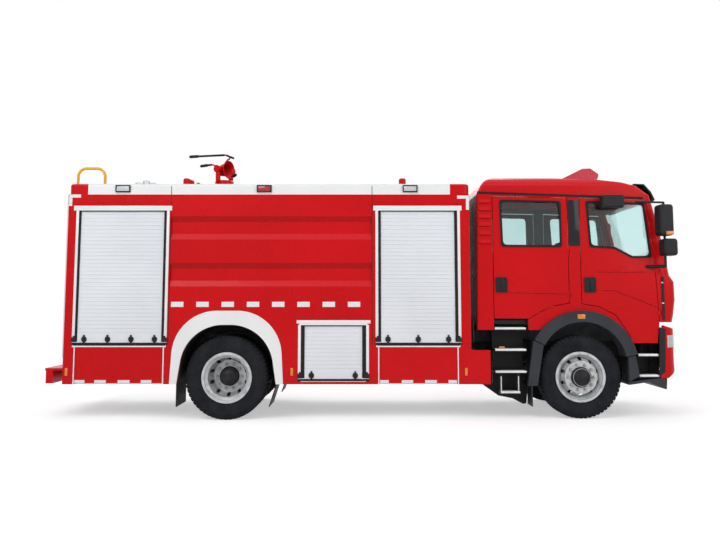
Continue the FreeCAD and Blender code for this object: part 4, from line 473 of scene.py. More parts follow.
def red_paint(name, shaded=None, shade=dark_trim):
    # Red outside. Within the given box the same sheet is covered by dark trim or undercoat.
    material = new_finish(name, (0.60, 0.0035, 0.0065), 0.28, coat=0.06, shine=0.10)
    vary_colour(material, blotches(material, 0.9, detail=2.0),
                (0.57, 0.0030, 0.0060), (0.64, 0.0042, 0.0078))
    # Painted highlight on up-facing slopes, mixed towards a pale red, and painted shade on down-facing
    # slopes, mixed towards a dark red.
    mix_colour(material, facing_up(material, 0.0, 0.80, 0.12, 0.75), painted_highlight_red)
    mix_colour(material, facing_up(material, 0.85, 0.0, -0.75, -0.12), painted_shade_red)
    if shaded:
        mix_colour(material, within(material, *shaded), shade)
    vary_roughness(material, blotches(material, 5.0), 0.24, 0.34)
    raise_surface(material, blotches(material, 260.0, detail=2.0), 0.035, 0.0008)
    return material


red = red_paint("red_gloss_paint")
dress(red, "deck_rail_ends", "rear_bumper", "deck_fittings", "monitor_base", "monitor_turret",
      "monitor_barrel")
under_black = (0.006, 0.006, 0.007)
body_inside = ((-5.0, -1.210, 0.3), (3.0, 1.210, 2.84))
core_inside = ((-3.770, -1.240, 0.3), (1.300, 1.240, 2.84))
cab_inside = ((1.400, -1.112, 0.2), (3.580, 1.112, 2.900))
bumper_inside = ((3.0, -1.085, 0.2), (3.850, 1.085, 1.3))
door_inside = ((1.0, -1.118, 0.2), (4.5, 1.118, 3.2))
dress(red_paint("red_body_sheet", body_inside, under_black), "body_sides")
dress(red_paint("red_core_sheet", core_inside, under_black), "body_core")
dress(red_paint("red_cab_sheet", cab_inside), "cab_shell")
dress(red_paint("red_bumper_sheet", bumper_inside, under_black), "front_bumper")
door_red = red_paint("red_door_sheet", door_inside)
for side, sign in SIDES:
    dress(red, "flap_rear_" + side, "flap_front_" + side)
    dress(door_red, "front_door_" + side, "rear_door_" + side)

# Panel seams of the fire body
# Black sealing compound in the joints where the ribbed middle panel meets the locker sections.

body_low, body_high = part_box("body_sides")
side_y = body_high.y
body_top_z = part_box("deck_rails")[1].z
body_front_x = 1.342
seam_width = 0.008
rear_seam_x = rear_axle_x - 0.745
front_seam_x = rear_axle_x + 1.840
seam_foot_z = 0.930


def add_block(bm, low, high, round_off=0.0, segments=2):
    made = bmesh.ops.create_cube(bm, size=1.0)["verts"]
    bmesh.ops.scale(bm, vec=[abs(high[axis] - low[axis]) for axis in range(3)], verts=made)
    bmesh.ops.translate(bm, vec=(Vector(low) + Vector(high)) / 2, verts=made)
    if round_off:
        edges = list({edge for vert in made for edge in vert.link_edges})
        bmesh.ops.bevel(bm, geom=edges, offset=round_off, segments=segments, affect="EDGES", profile=0.5)


def add_side_slab(bm, sign, x0, x1, z0, z1, proud, sunk=0.0, round_off=0.0, plane=None):
    # A slab on a vertical side wall, standing proud of it by the given height.
    wall = side_y if plane is None else plane
    low = Vector((min(x0, x1), min(sign * (wall - sunk), sign * (wall + proud)), min(z0, z1)))
    high = Vector((max(x0, x1), max(sign * (wall - sunk), sign * (wall + proud)), max(z0, z1)))
    add_block(bm, low, high, round_off)


seal_rubber = worn_finish("black_rubber_seal", (0.010, 0.010, 0.011), 0.6,
                          dulling=((25.0,), 0.5, 0.75), grain=((500.0,), 0.15, 0.0004))
bm = bmesh.new()
for side, sign in SIDES:
    for x in (rear_seam_x, front_seam_x):
        add_side_slab(bm, sign, x - seam_width / 2, x + seam_width / 2, seam_foot_z, body_top_z - 0.03,
                      0.0012, 0.002)
new_piece("body_seam_seals", bm, seal_rubber, "chassis")

# White bands and arch trims
# The deck's edge rail, the shutter rails and the bands round the rear arches are white enamel.

white = worn_finish("white_enamel", (0.86, 0.87, 0.87), 0.32, coat=0.3,
                    patches=((1.6, 3.0), (0.83, 0.84, 0.84), (0.89, 0.90, 0.90)),
                    dulling=((9.0,), 0.26, 0.42), grain=((220.0,), 0.04, 0.0006))
dress(white, "deck_rails", "arch_trims", "shutter_frames")

# Reflecting tape
# White retroreflecting tape, blank, cut in short lengths: a dashed row along the side, blocks
# along the foot of each flap and corner marks at the top of the body. Its cells are moulded in.

tape_thickness = 0.0009
dash_length = 0.158
dash_pitch = 0.321
dash_first_x = rear_axle_x - 0.717
dash_count = 8
dash_z = (1.411, 1.476)
block_z = (0.460, 0.497)
rear_block_xs = ((-3.660, -3.531), (-3.408, -3.264), (-3.115, -2.965), (-2.823, -2.690))
front_block_xs = ((0.190, 0.297), (0.462, 0.603), (0.755, 0.902), (1.049, 1.155))
corner_leg = 0.040
tape_edge = body_low.x + 0.004, body_front_x - 0.003
rear_mark = (tape_edge[0], tape_edge[0] + 0.150, tape_edge[0], 2.850, 2.702)
front_mark = (tape_edge[1] - 0.153, tape_edge[1], tape_edge[1] - corner_leg, 2.836, 2.652)


def reflecting_tape():
    material = new_finish("white_reflecting_tape", (0.80, 0.81, 0.82), 0.3)
    beads = cells(material, 140.0, 0.15, "DISTANCE_TO_EDGE")
    vary_colour(material, beads, (0.66, 0.68, 0.70), (0.88, 0.89, 0.90), 0.02, 0.12)
    raise_surface(material, beads, 0.2, 0.0006)
    return material


tape = reflecting_tape()
bm = bmesh.new()
for side, sign in SIDES:
    for index in range(dash_count):
        x = dash_first_x + dash_pitch * index
        add_side_slab(bm, sign, x, x + dash_length, dash_z[0], dash_z[1], tape_thickness)
    for x0, x1, inner, mark_top, foot in (rear_mark, front_mark):
        add_side_slab(bm, sign, x0, x1, mark_top - corner_leg, mark_top, tape_thickness)
        add_side_slab(bm, sign, inner, inner + corner_leg, foot, mark_top - corner_leg, tape_thickness)
new_piece("body_tape_marks", bm, tape, "chassis")
for side, sign in SIDES:
    for flap, spans in (("flap_rear_", rear_block_xs), ("flap_front_", front_block_xs)):
        bm = bmesh.new()
        for x0, x1 in spans:
            add_side_slab(bm, sign, x0, x1, block_z[0], block_z[1], tape_thickness)
        new_piece(flap + "tape_" + side, bm, tape, flap + side)

# Roller shutters
# Curtains of anodised aluminium slats that run in the white side rails against black brush
# seals. Each has a lift bar along its foot, held by black hooked catches.

slat_alloy_colour = (0.80, 0.82, 0.85)
tall_frames = ((-3.710, -2.512), (0.133, 1.218))
low_frame = (-0.848, 0.048)
rail_width = 0.035
rail_proud = 0.0068
tall_bays = ((rear_axle_x - 1.917, rear_axle_x - 0.806), (rear_axle_x + 1.929, rear_axle_x + 2.916))
low_bay = (rear_axle_x + 0.962, rear_axle_x + 1.735)
tall_z = (1.044, 2.641)
low_z = (0.593, 1.182)
bar_height = 0.092
seal_proud = rail_proud + 0.0015
seal_overlap = 0.023
first_catch = 0.11
head_overhang = 0.020
head_z = (0.020, 0.062)
head_proud = 0.013
foot_seal_z = (-0.016, 0.010)
foot_seal_proud = 0.010
end_catch = (-0.004, 0.054)
shutters = ((tall_bays[0], tall_frames[0], tall_z, 4), (tall_bays[1], tall_frames[1], tall_z, 3),
            (low_bay, low_frame, low_z, 2))


def shutter_alloy():
    material = new_finish("anodised_slats", slat_alloy_colour, 0.40)
    lines = blotches(material, 260.0, detail=2.0, stretch=(0.012, 1.0, 1.0))
    vary_colour(material, blotches(material, 1.3), (0.77, 0.79, 0.83), (0.83, 0.85, 0.88))
    vary_roughness(material, lines, 0.36, 0.50)
    raise_surface(material, lines, 0.03, 0.0003)
    return material


catch_plates = ((0.011, -0.056, 0.062, 0.016), (0.032, -0.056, -0.040, 0.012), (0.026, 0.024, 0.038, 0.012))


def add_catch(bm, sign, x, z, face):
    # A hooked catch: a round boss, a bent tongue over it and the keeper that it grips.
    y = sign * (side_y + face)
    out = Vector((0, sign, 0))
    boss = Vector((x, y, z + 0.006))
    add_rod(bm, boss, boss + out * 0.020, 0.036, 20, 0.030)
    add_rod(bm, boss + out * 0.018, boss + out * 0.026, 0.015, 12)
    for half_width, low, high, depth in catch_plates:
        add_block(bm, Vector((x - half_width, min(y, y + sign * depth), z + low)),
                  Vector((x + half_width, max(y, y + sign * depth), z + high)), 0.003)


slat_alloy = shutter_alloy()
dress(slat_alloy, "shutter_curtains")
dress(brushed_alloy("locker_alloy", (0.60, 0.61, 0.63)), "body_lockers")
seals = bmesh.new()
catches = bmesh.new()
flanges = bmesh.new()
for side, sign in SIDES:
    for bay, frame_x, (z0, z1), count in shutters:
        foot = z0 - bar_height
        for x0, x1, inner0, inner1 in (
                (frame_x[0], bay[0], frame_x[0] + rail_width, bay[0] + seal_overlap),
                (bay[1], frame_x[1], bay[1] - seal_overlap, frame_x[1] - rail_width)):
            add_side_slab(flanges, sign, x0, x1, foot, z1 + 0.004, rail_proud, 0.0, 0.0012)
            add_side_slab(seals, sign, inner0, inner1, foot + 0.02, z1, seal_proud)
        add_side_slab(flanges, sign, frame_x[0] - head_overhang, frame_x[1] + head_overhang, z1 + head_z[0],
                      z1 + head_z[1], head_proud, 0.0, 0.002)
        add_side_slab(seals, sign, frame_x[0] + rail_width, frame_x[1] - rail_width, z1 - 0.012,
                      z1 + 0.004, seal_proud)
        add_side_slab(seals, sign, frame_x[0] - 0.004, frame_x[1] + 0.004, foot + foot_seal_z[0],
                      foot + foot_seal_z[1], foot_seal_proud)
        bar_z = z0 - bar_height / 2
        step = (bay[1] - bay[0] - 2 * first_catch) / (count - 1)
        for index in range(count):
            add_catch(catches, sign, bay[0] + first_catch + step * index, bar_z, 0.0005)
        for x0, x1 in ((frame_x[0] + end_catch[0], frame_x[0] + end_catch[1]),
                       (frame_x[1] - end_catch[1], frame_x[1] - end_catch[0])):
            add_side_slab(catches, sign, x0, x1, bar_z - 0.026, bar_z + 0.030, 0.020, -0.001, 0.004)
            add_side_slab(catches, sign, x0 + 0.018, x1 - 0.018, bar_z + 0.020, bar_z + 0.050, 0.015,
                          -0.001, 0.003)
new_piece("shutter_rail_flanges", flanges, white, "chassis")
new_piece("shutter_brush_seals", seals, seal_rubber, "chassis")


def black_moulding():
    material = new_finish("black_moulded_plastic", (0.014, 0.015, 0.017), 0.45)
    vary_roughness(material, blotches(material, 40.0), 0.38, 0.58)
    raise_surface(material, cells(material, 420.0), 0.18, 0.0005)
    return material


moulding = black_moulding()
new_piece("shutter_catches", catches, moulding, "chassis")

# Flap borders
# Thin white angle strips screwed round the opening of each drop-down flap, with a dark gap above.

border_width = 0.014
flap_z = (0.458, 0.900)
bm = bmesh.new()
gaps = bmesh.new()
for side, sign in SIDES:
    for bay in tall_bays:
        for x in (bay[0] - border_width, bay[1]):
            add_side_slab(bm, sign, x, x + border_width, 0.447, flap_z[1] + 0.006, 0.006)
        add_side_slab(gaps, sign, bay[0] - 0.03, bay[1] + 0.03, 0.925, 0.934, 0.0075)
new_piece("flap_border_strips", bm, white, "chassis")
new_piece("shutter_sill_seals", gaps, seal_rubber, "chassis")

# Inner walls of the rear wheelhouses
# Black undersealed sheet that closes each wheelhouse on the inside, over the axle, pressed with
# three stiffening beads.

wall_y = 0.586
wall_radius = 0.60
wall_top_z = 1.170
hub_gap_radius = 0.24
bead_radii = (0.30, 0.40, 0.50)
flat_step = ((0.0, 0.0),)
bead_steps = ((-0.012, 0.0), (-0.006, 0.006), (0.006, 0.006), (0.012, 0.0))


def wheelhouse_wall(sign):
    bm = bmesh.new()
    steps = 28
    rings = []
    for reach in (hub_gap_radius,) + bead_radii + (wall_radius,):
        for shift, proud in bead_steps if reach in bead_radii else flat_step:
            ring = []
            for index in range(steps + 1):
                turn = math.radians(-8 + 196 * index / steps)
                x = rear_axle_x + (reach + shift) * math.cos(turn)
                z = min(axle_z + (reach + shift) * 1.12 * math.sin(turn) + 0.02, wall_top_z)
                ring.append((x, sign * (wall_y + proud), z))
            rings.append(ring)
    for depth in (0.0, -0.006):
        grid = [[bm.verts.new((x, y + sign * depth, z)) for x, y, z in ring] for ring in rings]
        for inner, outer in zip(grid, grid[1:]):
            for index in range(steps):
                bm.faces.new((inner[index], inner[index + 1], outer[index + 1], outer[index]))
    return bm


for side, sign in SIDES:
    new_piece("wheelhouse_wall_" + side, wheelhouse_wall(sign), black_paint, "chassis")

# Side lamps
# Flood lamps and one red lamp in black rubber frames on the white band, and upright amber
# markers low on the side. The clear lenses show a grid of small emitters.

band_lamp_z = 2.925
flood_xs = (rear_axle_x - 1.370, rear_axle_x + 2.330)
red_lamp_x = rear_axle_x + 0.450
lamp_size = (0.190, 0.092, 0.026)
marker_xs = (body_low.x + 0.051, low_bay[0] - 0.136, body_front_x - 0.068)
marker_z = (0.552, 0.648)
marker_size = (0.034, 0.014)
lamp_edge = 0.013


def clear_lens():
    material = new_finish("clear_lamp_lens", (0.55, 0.58, 0.60), 0.15, coat=0.8)
    emitters = cells(material, 70.0, 0.0)
    vary_colour(material, emitters, (0.85, 0.87, 0.86), (0.30, 0.33, 0.36), 0.2, 0.6)
    raise_surface(material, emitters, 0.3, 0.001)
    return material


def coloured_lens(name, bright, deep):
    material = new_finish(name, bright, 0.18, coat=0.9)
    flutes = ripples(material, 60.0)
    vary_colour(material, flutes, deep, bright)
    raise_surface(material, flutes, 0.25, 0.0008)
    return material


def add_frame(bm, sign, x0, x1, z0, z1, width, proud):
    for a, b, c, d in ((x0 - width, x1 + width, z1, z1 + width), (x0 - width, x1 + width, z0 - width, z0),
                       (x0 - width, x0, z0, z1), (x1, x1 + width, z0, z1)):
        add_side_slab(bm, sign, a, b, c, d, proud, 0.0, 0.0015)


clear = clear_lens()
red_lens = coloured_lens("red_lamp_lens", (0.52, 0.008, 0.012), (0.30, 0.004, 0.006))
amber_lens = coloured_lens("amber_lamp_lens", (0.85, 0.30, 0.02), (0.60, 0.16, 0.01))
frames = bmesh.new()
floods = bmesh.new()
reds = bmesh.new()
ambers = bmesh.new()
half_length = lamp_size[0] / 2
half_height = lamp_size[1] / 2
for side, sign in SIDES:
    for x, bm in ((flood_xs[0], floods), (flood_xs[1], floods), (red_lamp_x, reds)):
        lens = (x - half_length + lamp_edge, x + half_length - lamp_edge,
                band_lamp_z - half_height + lamp_edge, band_lamp_z + half_height - lamp_edge)
        add_side_slab(bm, sign, *lens, lamp_size[2] - 0.004, 0.0, 0.005)
        add_frame(frames, sign, *lens, lamp_edge, lamp_size[2])
    for x in marker_xs:
        add_side_slab(ambers, sign, x - marker_size[0] / 2, x + marker_size[0] / 2, *marker_z,
                      marker_size[1], 0.0, 0.004)
lamp_frames = new_piece("side_lamp_frames", frames, moulding, "chassis")
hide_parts("side_lamps")
new_piece("side_flood_lenses", floods, clear, "chassis")
new_piece("side_red_lenses", reds, red_lens, "chassis")
new_piece("side_amber_markers", ambers, amber_lens, "chassis")

# Rear ladder, hoops and tail lamps
# Polished aluminium tube for the ladder, yellow enamel on the grab hoops, and lamp clusters
# with red, amber and clear bands.


def tail_lens():
    # Bands stacked by height: clear at the foot, amber, then red.
    material = new_finish("tail_lamp_lens", (0.5, 0.01, 0.01), 0.16, coat=0.9)
    tree = material.node_tree
    split = tree.nodes.new("ShaderNodeSeparateXYZ")
    tree.links.new(place_of(material), split.inputs["Vector"])
    low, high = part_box("rear_lamps")
    height = spread(material, split.outputs["Z"], 0.0, 1.0, low.z, high.z)
    ramp = tree.nodes.new("ShaderNodeValToRGB")
    ramp.color_ramp.interpolation = "CONSTANT"
    ramp.color_ramp.elements[0].color = (0.75, 0.77, 0.78, 1.0)
    ramp.color_ramp.elements[1].position = 0.26
    ramp.color_ramp.elements[1].color = (0.85, 0.28, 0.02, 1.0)
    third = ramp.color_ramp.elements.new(0.52)
    third.color = (0.50, 0.008, 0.010, 1.0)
    tree.links.new(height, ramp.inputs["Fac"])
    tree.links.new(ramp.outputs["Color"], shader_of(material).inputs["Base Color"])
    raise_surface(material, blotches(material, 90.0), 0.1, 0.001)
    return material


dress(brushed_alloy("ladder_alloy", (0.62, 0.63, 0.65)), "ladder")
yellow = worn_finish("yellow_enamel", (0.80, 0.46, 0.02), 0.32, coat=0.4,
                     patches=((6.0,), (0.74, 0.41, 0.015), (0.86, 0.52, 0.03)),
                     grain=((200.0,), 0.05, 0.0006))
dress(yellow, "ladder_hoop")
dress(tail_lens(), "rear_lamps")

# Monitor levers
# Black rubber grips and black enamel over the two hand levers of the roof monitor, with a lock
# knob on a short stem in front of the barrel.

monitor_pivot = joint_place["monitor_lift"]
monitor_heading = math.radians(-30)
monitor_way = Vector((math.cos(monitor_heading), math.sin(monitor_heading), 0.0))
# Each run: where it starts, where it ends, both along the barrel and above its pin, and a radius.
lever_runs = (
    ((-0.630, 0.2425), (-0.500, 0.2375), 0.0215), ((-0.500, 0.2375), (-0.010, 0.2148), 0.0150),
    ((0.035, 0.205), (0.150, 0.158), 0.0150),
    ((-0.425, 0.0903), (-0.320, 0.0935), 0.0205), ((-0.320, 0.0935), (-0.242, 0.0957), 0.0150),
    ((0.118, -0.099), (0.170, -0.088), 0.0085), ((0.160, -0.094), (0.190, -0.082), 0.0230),
)


def on_monitor(along, above):
    return monitor_pivot + monitor_way * along + Vector((0, 0, above))


bm = bmesh.new()
for start, end, radius in lever_runs:
    add_rod(bm, on_monitor(*start), on_monitor(*end), radius, 20)
    for middle in (start, end):
        place = on_monitor(*middle)
        bmesh.ops.create_icosphere(bm, subdivisions=2, radius=radius * 1.02, matrix=Matrix.Translation(place))
new_piece("monitor_lever_grips", bm, moulding, "monitor_barrel")

# Roof couplings
# Three capped hose couplings of bright alloy, and a domed vent with a small valve beside it, all
# standing on the deck behind its edge rail.

deck_z = 2.850
fitting_y = -1.0
coupling_places = ((-2.985, 3.040), (-2.885, 3.066), (-2.785, 3.036))
vent_places = ((-2.294, 0.044, 3.078), (-2.200, 0.030, 3.040))
dome_angles = (-50, -25, 0, 25, 50, 75)

bm = bmesh.new()
for x, top in coupling_places:
    outline = [(0.001, deck_z), (0.052, deck_z), (0.052, deck_z + 0.012), (0.030, deck_z + 0.020),
               (0.030, top - 0.060), (0.047, top - 0.052), (0.047, top - 0.014), (0.038, top - 0.004),
               (0.012, top), (0.001, top)]
    add_lathe(bm, outline, Vector((x, fitting_y, 0.0)), 40, upright=True)
new_piece("roof_couplings", bm, tank_alloy, "chassis")
bm = bmesh.new()
for x, radius, top in vent_places:
    outline = [(0.001, deck_z), (radius * 1.3, deck_z), (radius * 1.3, deck_z + 0.014),
               (radius * 0.6, deck_z + 0.024), (radius * 0.6, top - radius * 1.9)]
    outline += [(radius * math.cos(math.radians(a)), top - radius + radius * math.sin(math.radians(a)))
                for a in dome_angles]
    outline.append((0.001, top))
    add_lathe(bm, outline, Vector((x, fitting_y, 0.0)), 40, upright=True)
new_piece("roof_vents", bm, red, "chassis")

# Cab glass
# Curved laminated screen and flat toughened door panes, tinted faintly green.

glass = worn_finish("tinted_glass", (0.70, 0.84, 0.84), 0.02,
                    patches=((2.0,), (0.68, 0.83, 0.83), (0.72, 0.86, 0.86)))
shader_of(glass).inputs["Transmission Weight"].default_value = 1.0
shader_of(glass).inputs["IOR"].default_value = 1.45
dress(glass, "windscreen")
for side, sign in SIDES:
    dress(glass, "front_glass_" + side, "rear_glass_" + side)

# Cab seals and trim
# Black rubber round each window and along the gutter, a gloss black panel on the pillar
# between the doors, and recessed black handles.

cab_y = -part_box("front_door_right")[0].y
pillar_x = (front_axle_x - 0.118, front_axle_x + 0.032)
pillar_z = (2.196, 2.790)
gutter_ends = ((front_axle_x - 1.288, 2.892), (front_axle_x + 0.868, 2.817))
gutter_height = 0.026
rear_window = ((-0.992, 2.786), (-0.218, 2.770), (-0.214, 2.190), (-0.976, 2.196))
front_window = ((0.132, 2.770), (0.868, 2.744), (0.940, 2.051), (0.697, 2.051), (0.479, 2.169),
                (0.167, 2.189))
seal_outside = -0.012
seal_inside = 0.014
seal_depth = 0.0125
handle_size = (0.150, 0.195)
rear_handle_x = front_axle_x - 1.070
front_handle_x = front_axle_x + 0.072
handle_z = 1.692


def inset_outline(points, inset):
    # Moves a closed outline inwards, or outwards where the inset is below nought.
    count = len(points)
    middle = Vector((sum(x for x, z in points) / count, sum(z for x, z in points) / count))
    moved = []
    for index in range(count):
        before = Vector(points[index - 1])
        here = Vector(points[index])
        after = Vector(points[(index + 1) % count])
        first = (here - before).normalized()
        second = (after - here).normalized()
        normal = Vector((first.y + second.y, -first.x - second.x)).normalized()
        if normal.dot(middle - here) < 0:
            normal = -normal
        reach = inset / max(0.3, abs(Vector((first.y, -first.x)).dot(normal)))
        moved.append(tuple(here + normal * reach))
    return moved


def add_ribbon(bm, sign, outer, inner, wall_y, proud, sunk):
    # A flat band between two closed outlines on the side of the cab.
    rings = []
    for ring, depth in ((outer, -sunk), (outer, proud), (inner, proud), (inner, -sunk)):
        rings.append([bm.verts.new((x, sign * (wall_y + depth), z)) for x, z in ring])
    for index in range(4):
        join_rings(bm, rings[index], rings[(index + 1) % 4])


def add_sloped_bar(bm, sign, start, end, height, wall_y, proud, sunk=0.0):
    # A straight bar on the side of the cab, from one point of it to another.
    ends = []
    for x, z in (start, end):
        ends.append([bm.verts.new((x, sign * (wall_y + depth), z + way * height / 2))
                     for depth, way in ((-sunk, -1), (proud, -1), (proud, 1), (-sunk, 1))])
    add_prism(bm, *ends)


def rounded(points, radius, steps=4):
    # Swaps each corner of an outline for an arc.
    smooth = []
    count = len(points)
    for index in range(count):
        before = Vector(points[index - 1])
        here = Vector(points[index])
        after = Vector(points[(index + 1) % count])
        a = (before - here).normalized()
        b = (after - here).normalized()
        half = a.angle(b) / 2
        cut = min(radius / math.tan(half), (before - here).length * 0.45, (after - here).length * 0.45)
        start = here + a * cut
        end = here + b * cut
        for step in range(steps + 1):
            t = step / steps
            smooth.append(tuple(start * (1 - t) ** 2 + here * 2 * t * (1 - t) + end * t ** 2))
    return smooth


def on_cab(points):
    return [(front_axle_x + x, z) for x, z in points]


def door_handle(sign, x):
    # A rounded frame round a shallow dish, with a grip that stands out of it.
    bm = bmesh.new()
    x1 = x + handle_size[0]
    z0 = handle_z - handle_size[1] / 2
    z1 = handle_z + handle_size[1] / 2
    outline = [(x, z0), (x1, z0), (x1, z1), (x, z1)]
    add_ribbon(bm, sign, rounded(outline, 0.020), rounded(inset_outline(outline, 0.012), 0.014),
               cab_y, 0.006, 0.0)
    add_side_slab(bm, sign, x + 0.010, x1 - 0.010, z0 + 0.010, z1 - 0.010, 0.0015, 0.0, 0.0, cab_y)
    middle = x + handle_size[0] / 2
    add_side_slab(bm, sign, middle - 0.004, middle + 0.034, z0 + 0.016, z1 - 0.016, 0.013, -0.001, 0.006,
                  cab_y)
    return bm


pillar_black = worn_finish("gloss_black_panel", (0.008, 0.010, 0.013), 0.16, coat=0.15,
                           dulling=((12.0,), 0.09, 0.2))
for side, sign in SIDES:
    for door, outline in (("rear", rear_window), ("front", front_window)):
        bm = bmesh.new()
        hole = on_cab(outline)
        add_ribbon(bm, sign, rounded(inset_outline(hole, seal_outside), 0.036, 6),
                   rounded(inset_outline(hole, seal_inside), 0.060, 6), cab_y, 0.003, seal_depth)
        new_piece(door + "_window_seal_" + side, bm, seal_rubber, door + "_door_" + side)
    for door, x in (("rear", rear_handle_x), ("front", front_handle_x)):
        new_piece(door + "_door_handle_" + side, door_handle(sign, x), moulding, door + "_door_" + side)
bm = bmesh.new()
strips = bmesh.new()
for side, sign in SIDES:
    add_side_slab(bm, sign, pillar_x[0] + 0.004, pillar_x[1] - 0.004, pillar_z[0], pillar_z[1], 0.002, 0.0,
                  0.0008, cab_y)
    add_sloped_bar(strips, sign, *gutter_ends, gutter_height, cab_y, 0.005, 0.030)
new_piece("pillar_panels", bm, pillar_black, "cab")
new_piece("gutter_strips", strips, seal_rubber, "cab")

# Mouldings round the wheels
# Dark grey plastic fenders and skirts, the black sun visor and the mirror housings.


def grey_moulding(name):
    material = new_finish(name, (0.030, 0.033, 0.040), 0.48)
    vary_colour(material, blotches(material, 3.0), (0.026, 0.029, 0.035), (0.040, 0.043, 0.050))
    raise_surface(material, cells(material, 380.0), 0.2, 0.0005)
    return material


fender_grey = grey_moulding("grey_moulded_plastic")
skirt_grey = grey_moulding("grey_skirt_plastic")
skirt_inside = ((1.0, -1.100, 0.0), (4.2, 1.100, 1.4))
mix_colour(skirt_grey, within(skirt_grey, *skirt_inside), under_black)
dress(fender_grey, "cab_fenders")
dress(skirt_grey, "front_skirts")
dress(moulding, "mirrors_right", "mirrors_left", "cab_front_trim")

# Entry steps
# Black pressed boxes with bright serrated aluminium treads screwed along them. The lowest rear
# step folds and hangs on two flat bars.

step_y = 1.130
rear_treads = tuple((1.662, 2.058, top) for top in (1.146, 0.876, 0.600))
front_treads = tuple((3.489, 3.746, top) for top in (0.810, 0.550))
folding_tread = (1.724, 1.971, 0.344)
hanger_xs = (1.737, 1.958)
hanger_top_z = 0.530
step_lamp = (1.713, 1.785, 0.884, 0.908)
tread_height = 0.022
tread_depth = 0.120
plate_top = 0.002
tooth_pitch = 0.022
tooth_height = 0.006
half_bar = 0.006


def add_tread(bm, sign, x0, x1, top):
    # A nosing along the step's edge, a thin plate behind it and a row of teeth across both.
    add_side_slab(bm, sign, x0, x1, top - tread_height, top + plate_top, 0.003, 0.012, 0.002, step_y)
    add_side_slab(bm, sign, x0, x1, top - 0.001, top + plate_top, 0.0, tread_depth, 0.0, step_y)
    for index in range(int((x1 - x0) / tooth_pitch)):
        x = x0 + tooth_pitch * (index + 0.5)
        add_side_slab(bm, sign, x - half_bar, x + half_bar, top + 0.001, top + tooth_height, 0.001,
                      tread_depth * 0.9, 0.0, step_y)


tread_alloy = worn_finish("bright_tread_alloy", (0.80, 0.81, 0.82), 0.35, metallic=0.3,
                          patches=((9.0,), (0.70, 0.71, 0.72), (0.86, 0.87, 0.88)),
                          dulling=((40.0,), 0.28, 0.5), grain=((260.0,), 0.1, 0.0006))
dress(black_paint, "entry_steps")
treads = bmesh.new()
lamps = bmesh.new()
for side, sign in SIDES:
    for x0, x1, top in rear_treads + front_treads + (folding_tread,):
        add_tread(treads, sign, x0, x1, top)
    for x in hanger_xs:
        add_side_slab(treads, sign, x - half_bar, x + half_bar, folding_tread[2], hanger_top_z, -0.036, 0.039,
                      0.001, step_y)
    add_side_slab(lamps, sign, *step_lamp, -0.004, 0.034, 0.003, step_y)
new_piece("step_treads", treads, tread_alloy, "chassis")
new_piece("step_marker_lamps", lamps, amber_lens, "chassis")

# Dark sheets under the cab
# Black sheets behind the steps, under the rear of the cab and behind the bumper's ends, hung
# from the frame where the gaps there lie in shade: painted shade. Each has three upright ribs.

# Each sheet of painted shade: its two ends, its foot and top, and its distance from the vehicle's middle.
shade_sheets = ((1.360, 1.700, 0.955, 1.105, 0.74), (1.350, 1.400, 0.960, 1.250, 1.100),
          (1.655, 2.140, 0.985, 1.182, 0.872), (3.705, 3.800, 0.560, 1.120, 0.900),
          (3.600, 3.846, 0.520, 0.930, 0.845))
rib_inset = 0.02
half_rib = 0.008
sheet = 0.004
bm = bmesh.new()
for side, sign in SIDES:
    for x0, x1, z0, z1, plane in shade_sheets:
        add_side_slab(bm, sign, x0, x1, z0, z1, 0.0, sheet, 0.0, plane)
        for x in (x0 + rib_inset, (x0 + x1) / 2, x1 - rib_inset):
            add_side_slab(bm, sign, x - half_rib, x + half_rib, z0 + rib_inset / 2, z1 - rib_inset / 2, sheet,
                          0.0, 0.001, plane)
new_piece("painted_shade_sheets", bm, black_paint, "chassis")

# Fender lamps
# Oblong amber repeaters pressed into the crown of each front fender.

fender_lamp = (2.713, 2.812, 1.258, 1.318)
fender_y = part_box("cab_fenders")[1].y
bm = bmesh.new()
for side, sign in SIDES:
    add_side_slab(bm, sign, *fender_lamp, 0.009, 0.004, 0.006, fender_y)
new_piece("fender_lamps", bm, amber_lens, "cab")

# Cab louvres and creases
# Six louvres pressed into each rear corner of the cab, and the pressed creases of the doors.
# All are painted with the sheet that they are part of.

louvre_tops = (2.806, 2.706, 2.607, 2.505, 2.390, 2.278)
louvre_xs = (1.480, 1.628)
louvre_height = 0.052
louvre_back = -0.004
louvre_section = ((louvre_back, 0.0), (0.0005, 0.0), (0.013, -louvre_height), (louvre_back, -0.056))
crease_radius = 0.0052
crease_y = cab_y - 0.0022
door_creases = (
    ("front", (((2.998, 1.864), (3.617, 1.854)), ((3.050, 1.628), (3.206, 1.628)),
               ((3.206, 1.628), (3.769, 1.408)))),
    ("rear", (((1.674, 1.602), (2.621, 1.582)),)),
)
# The louvres' up-facing faces and the creases' tops show the red paint's painted highlight, and their
# undersides show its painted shade.
bm = bmesh.new()
for side, sign in SIDES:
    for top in louvre_tops:
        ends = [[bm.verts.new((x, sign * (cab_y + depth), top + drop)) for depth, drop in louvre_section]
                for x in louvre_xs]
        add_prism(bm, *ends)
new_piece("cab_louvres", bm, red, "cab")
for side, sign in SIDES:
    for door, lines in door_creases:
        bm = bmesh.new()
        for (x0, z0), (x1, z1) in lines:
            add_rod(bm, (x0, sign * crease_y, z0), (x1, sign * crease_y, z1), crease_radius, 14)
        new_piece(door + "_door_creases_" + side, bm, red, door + "_door_" + side)
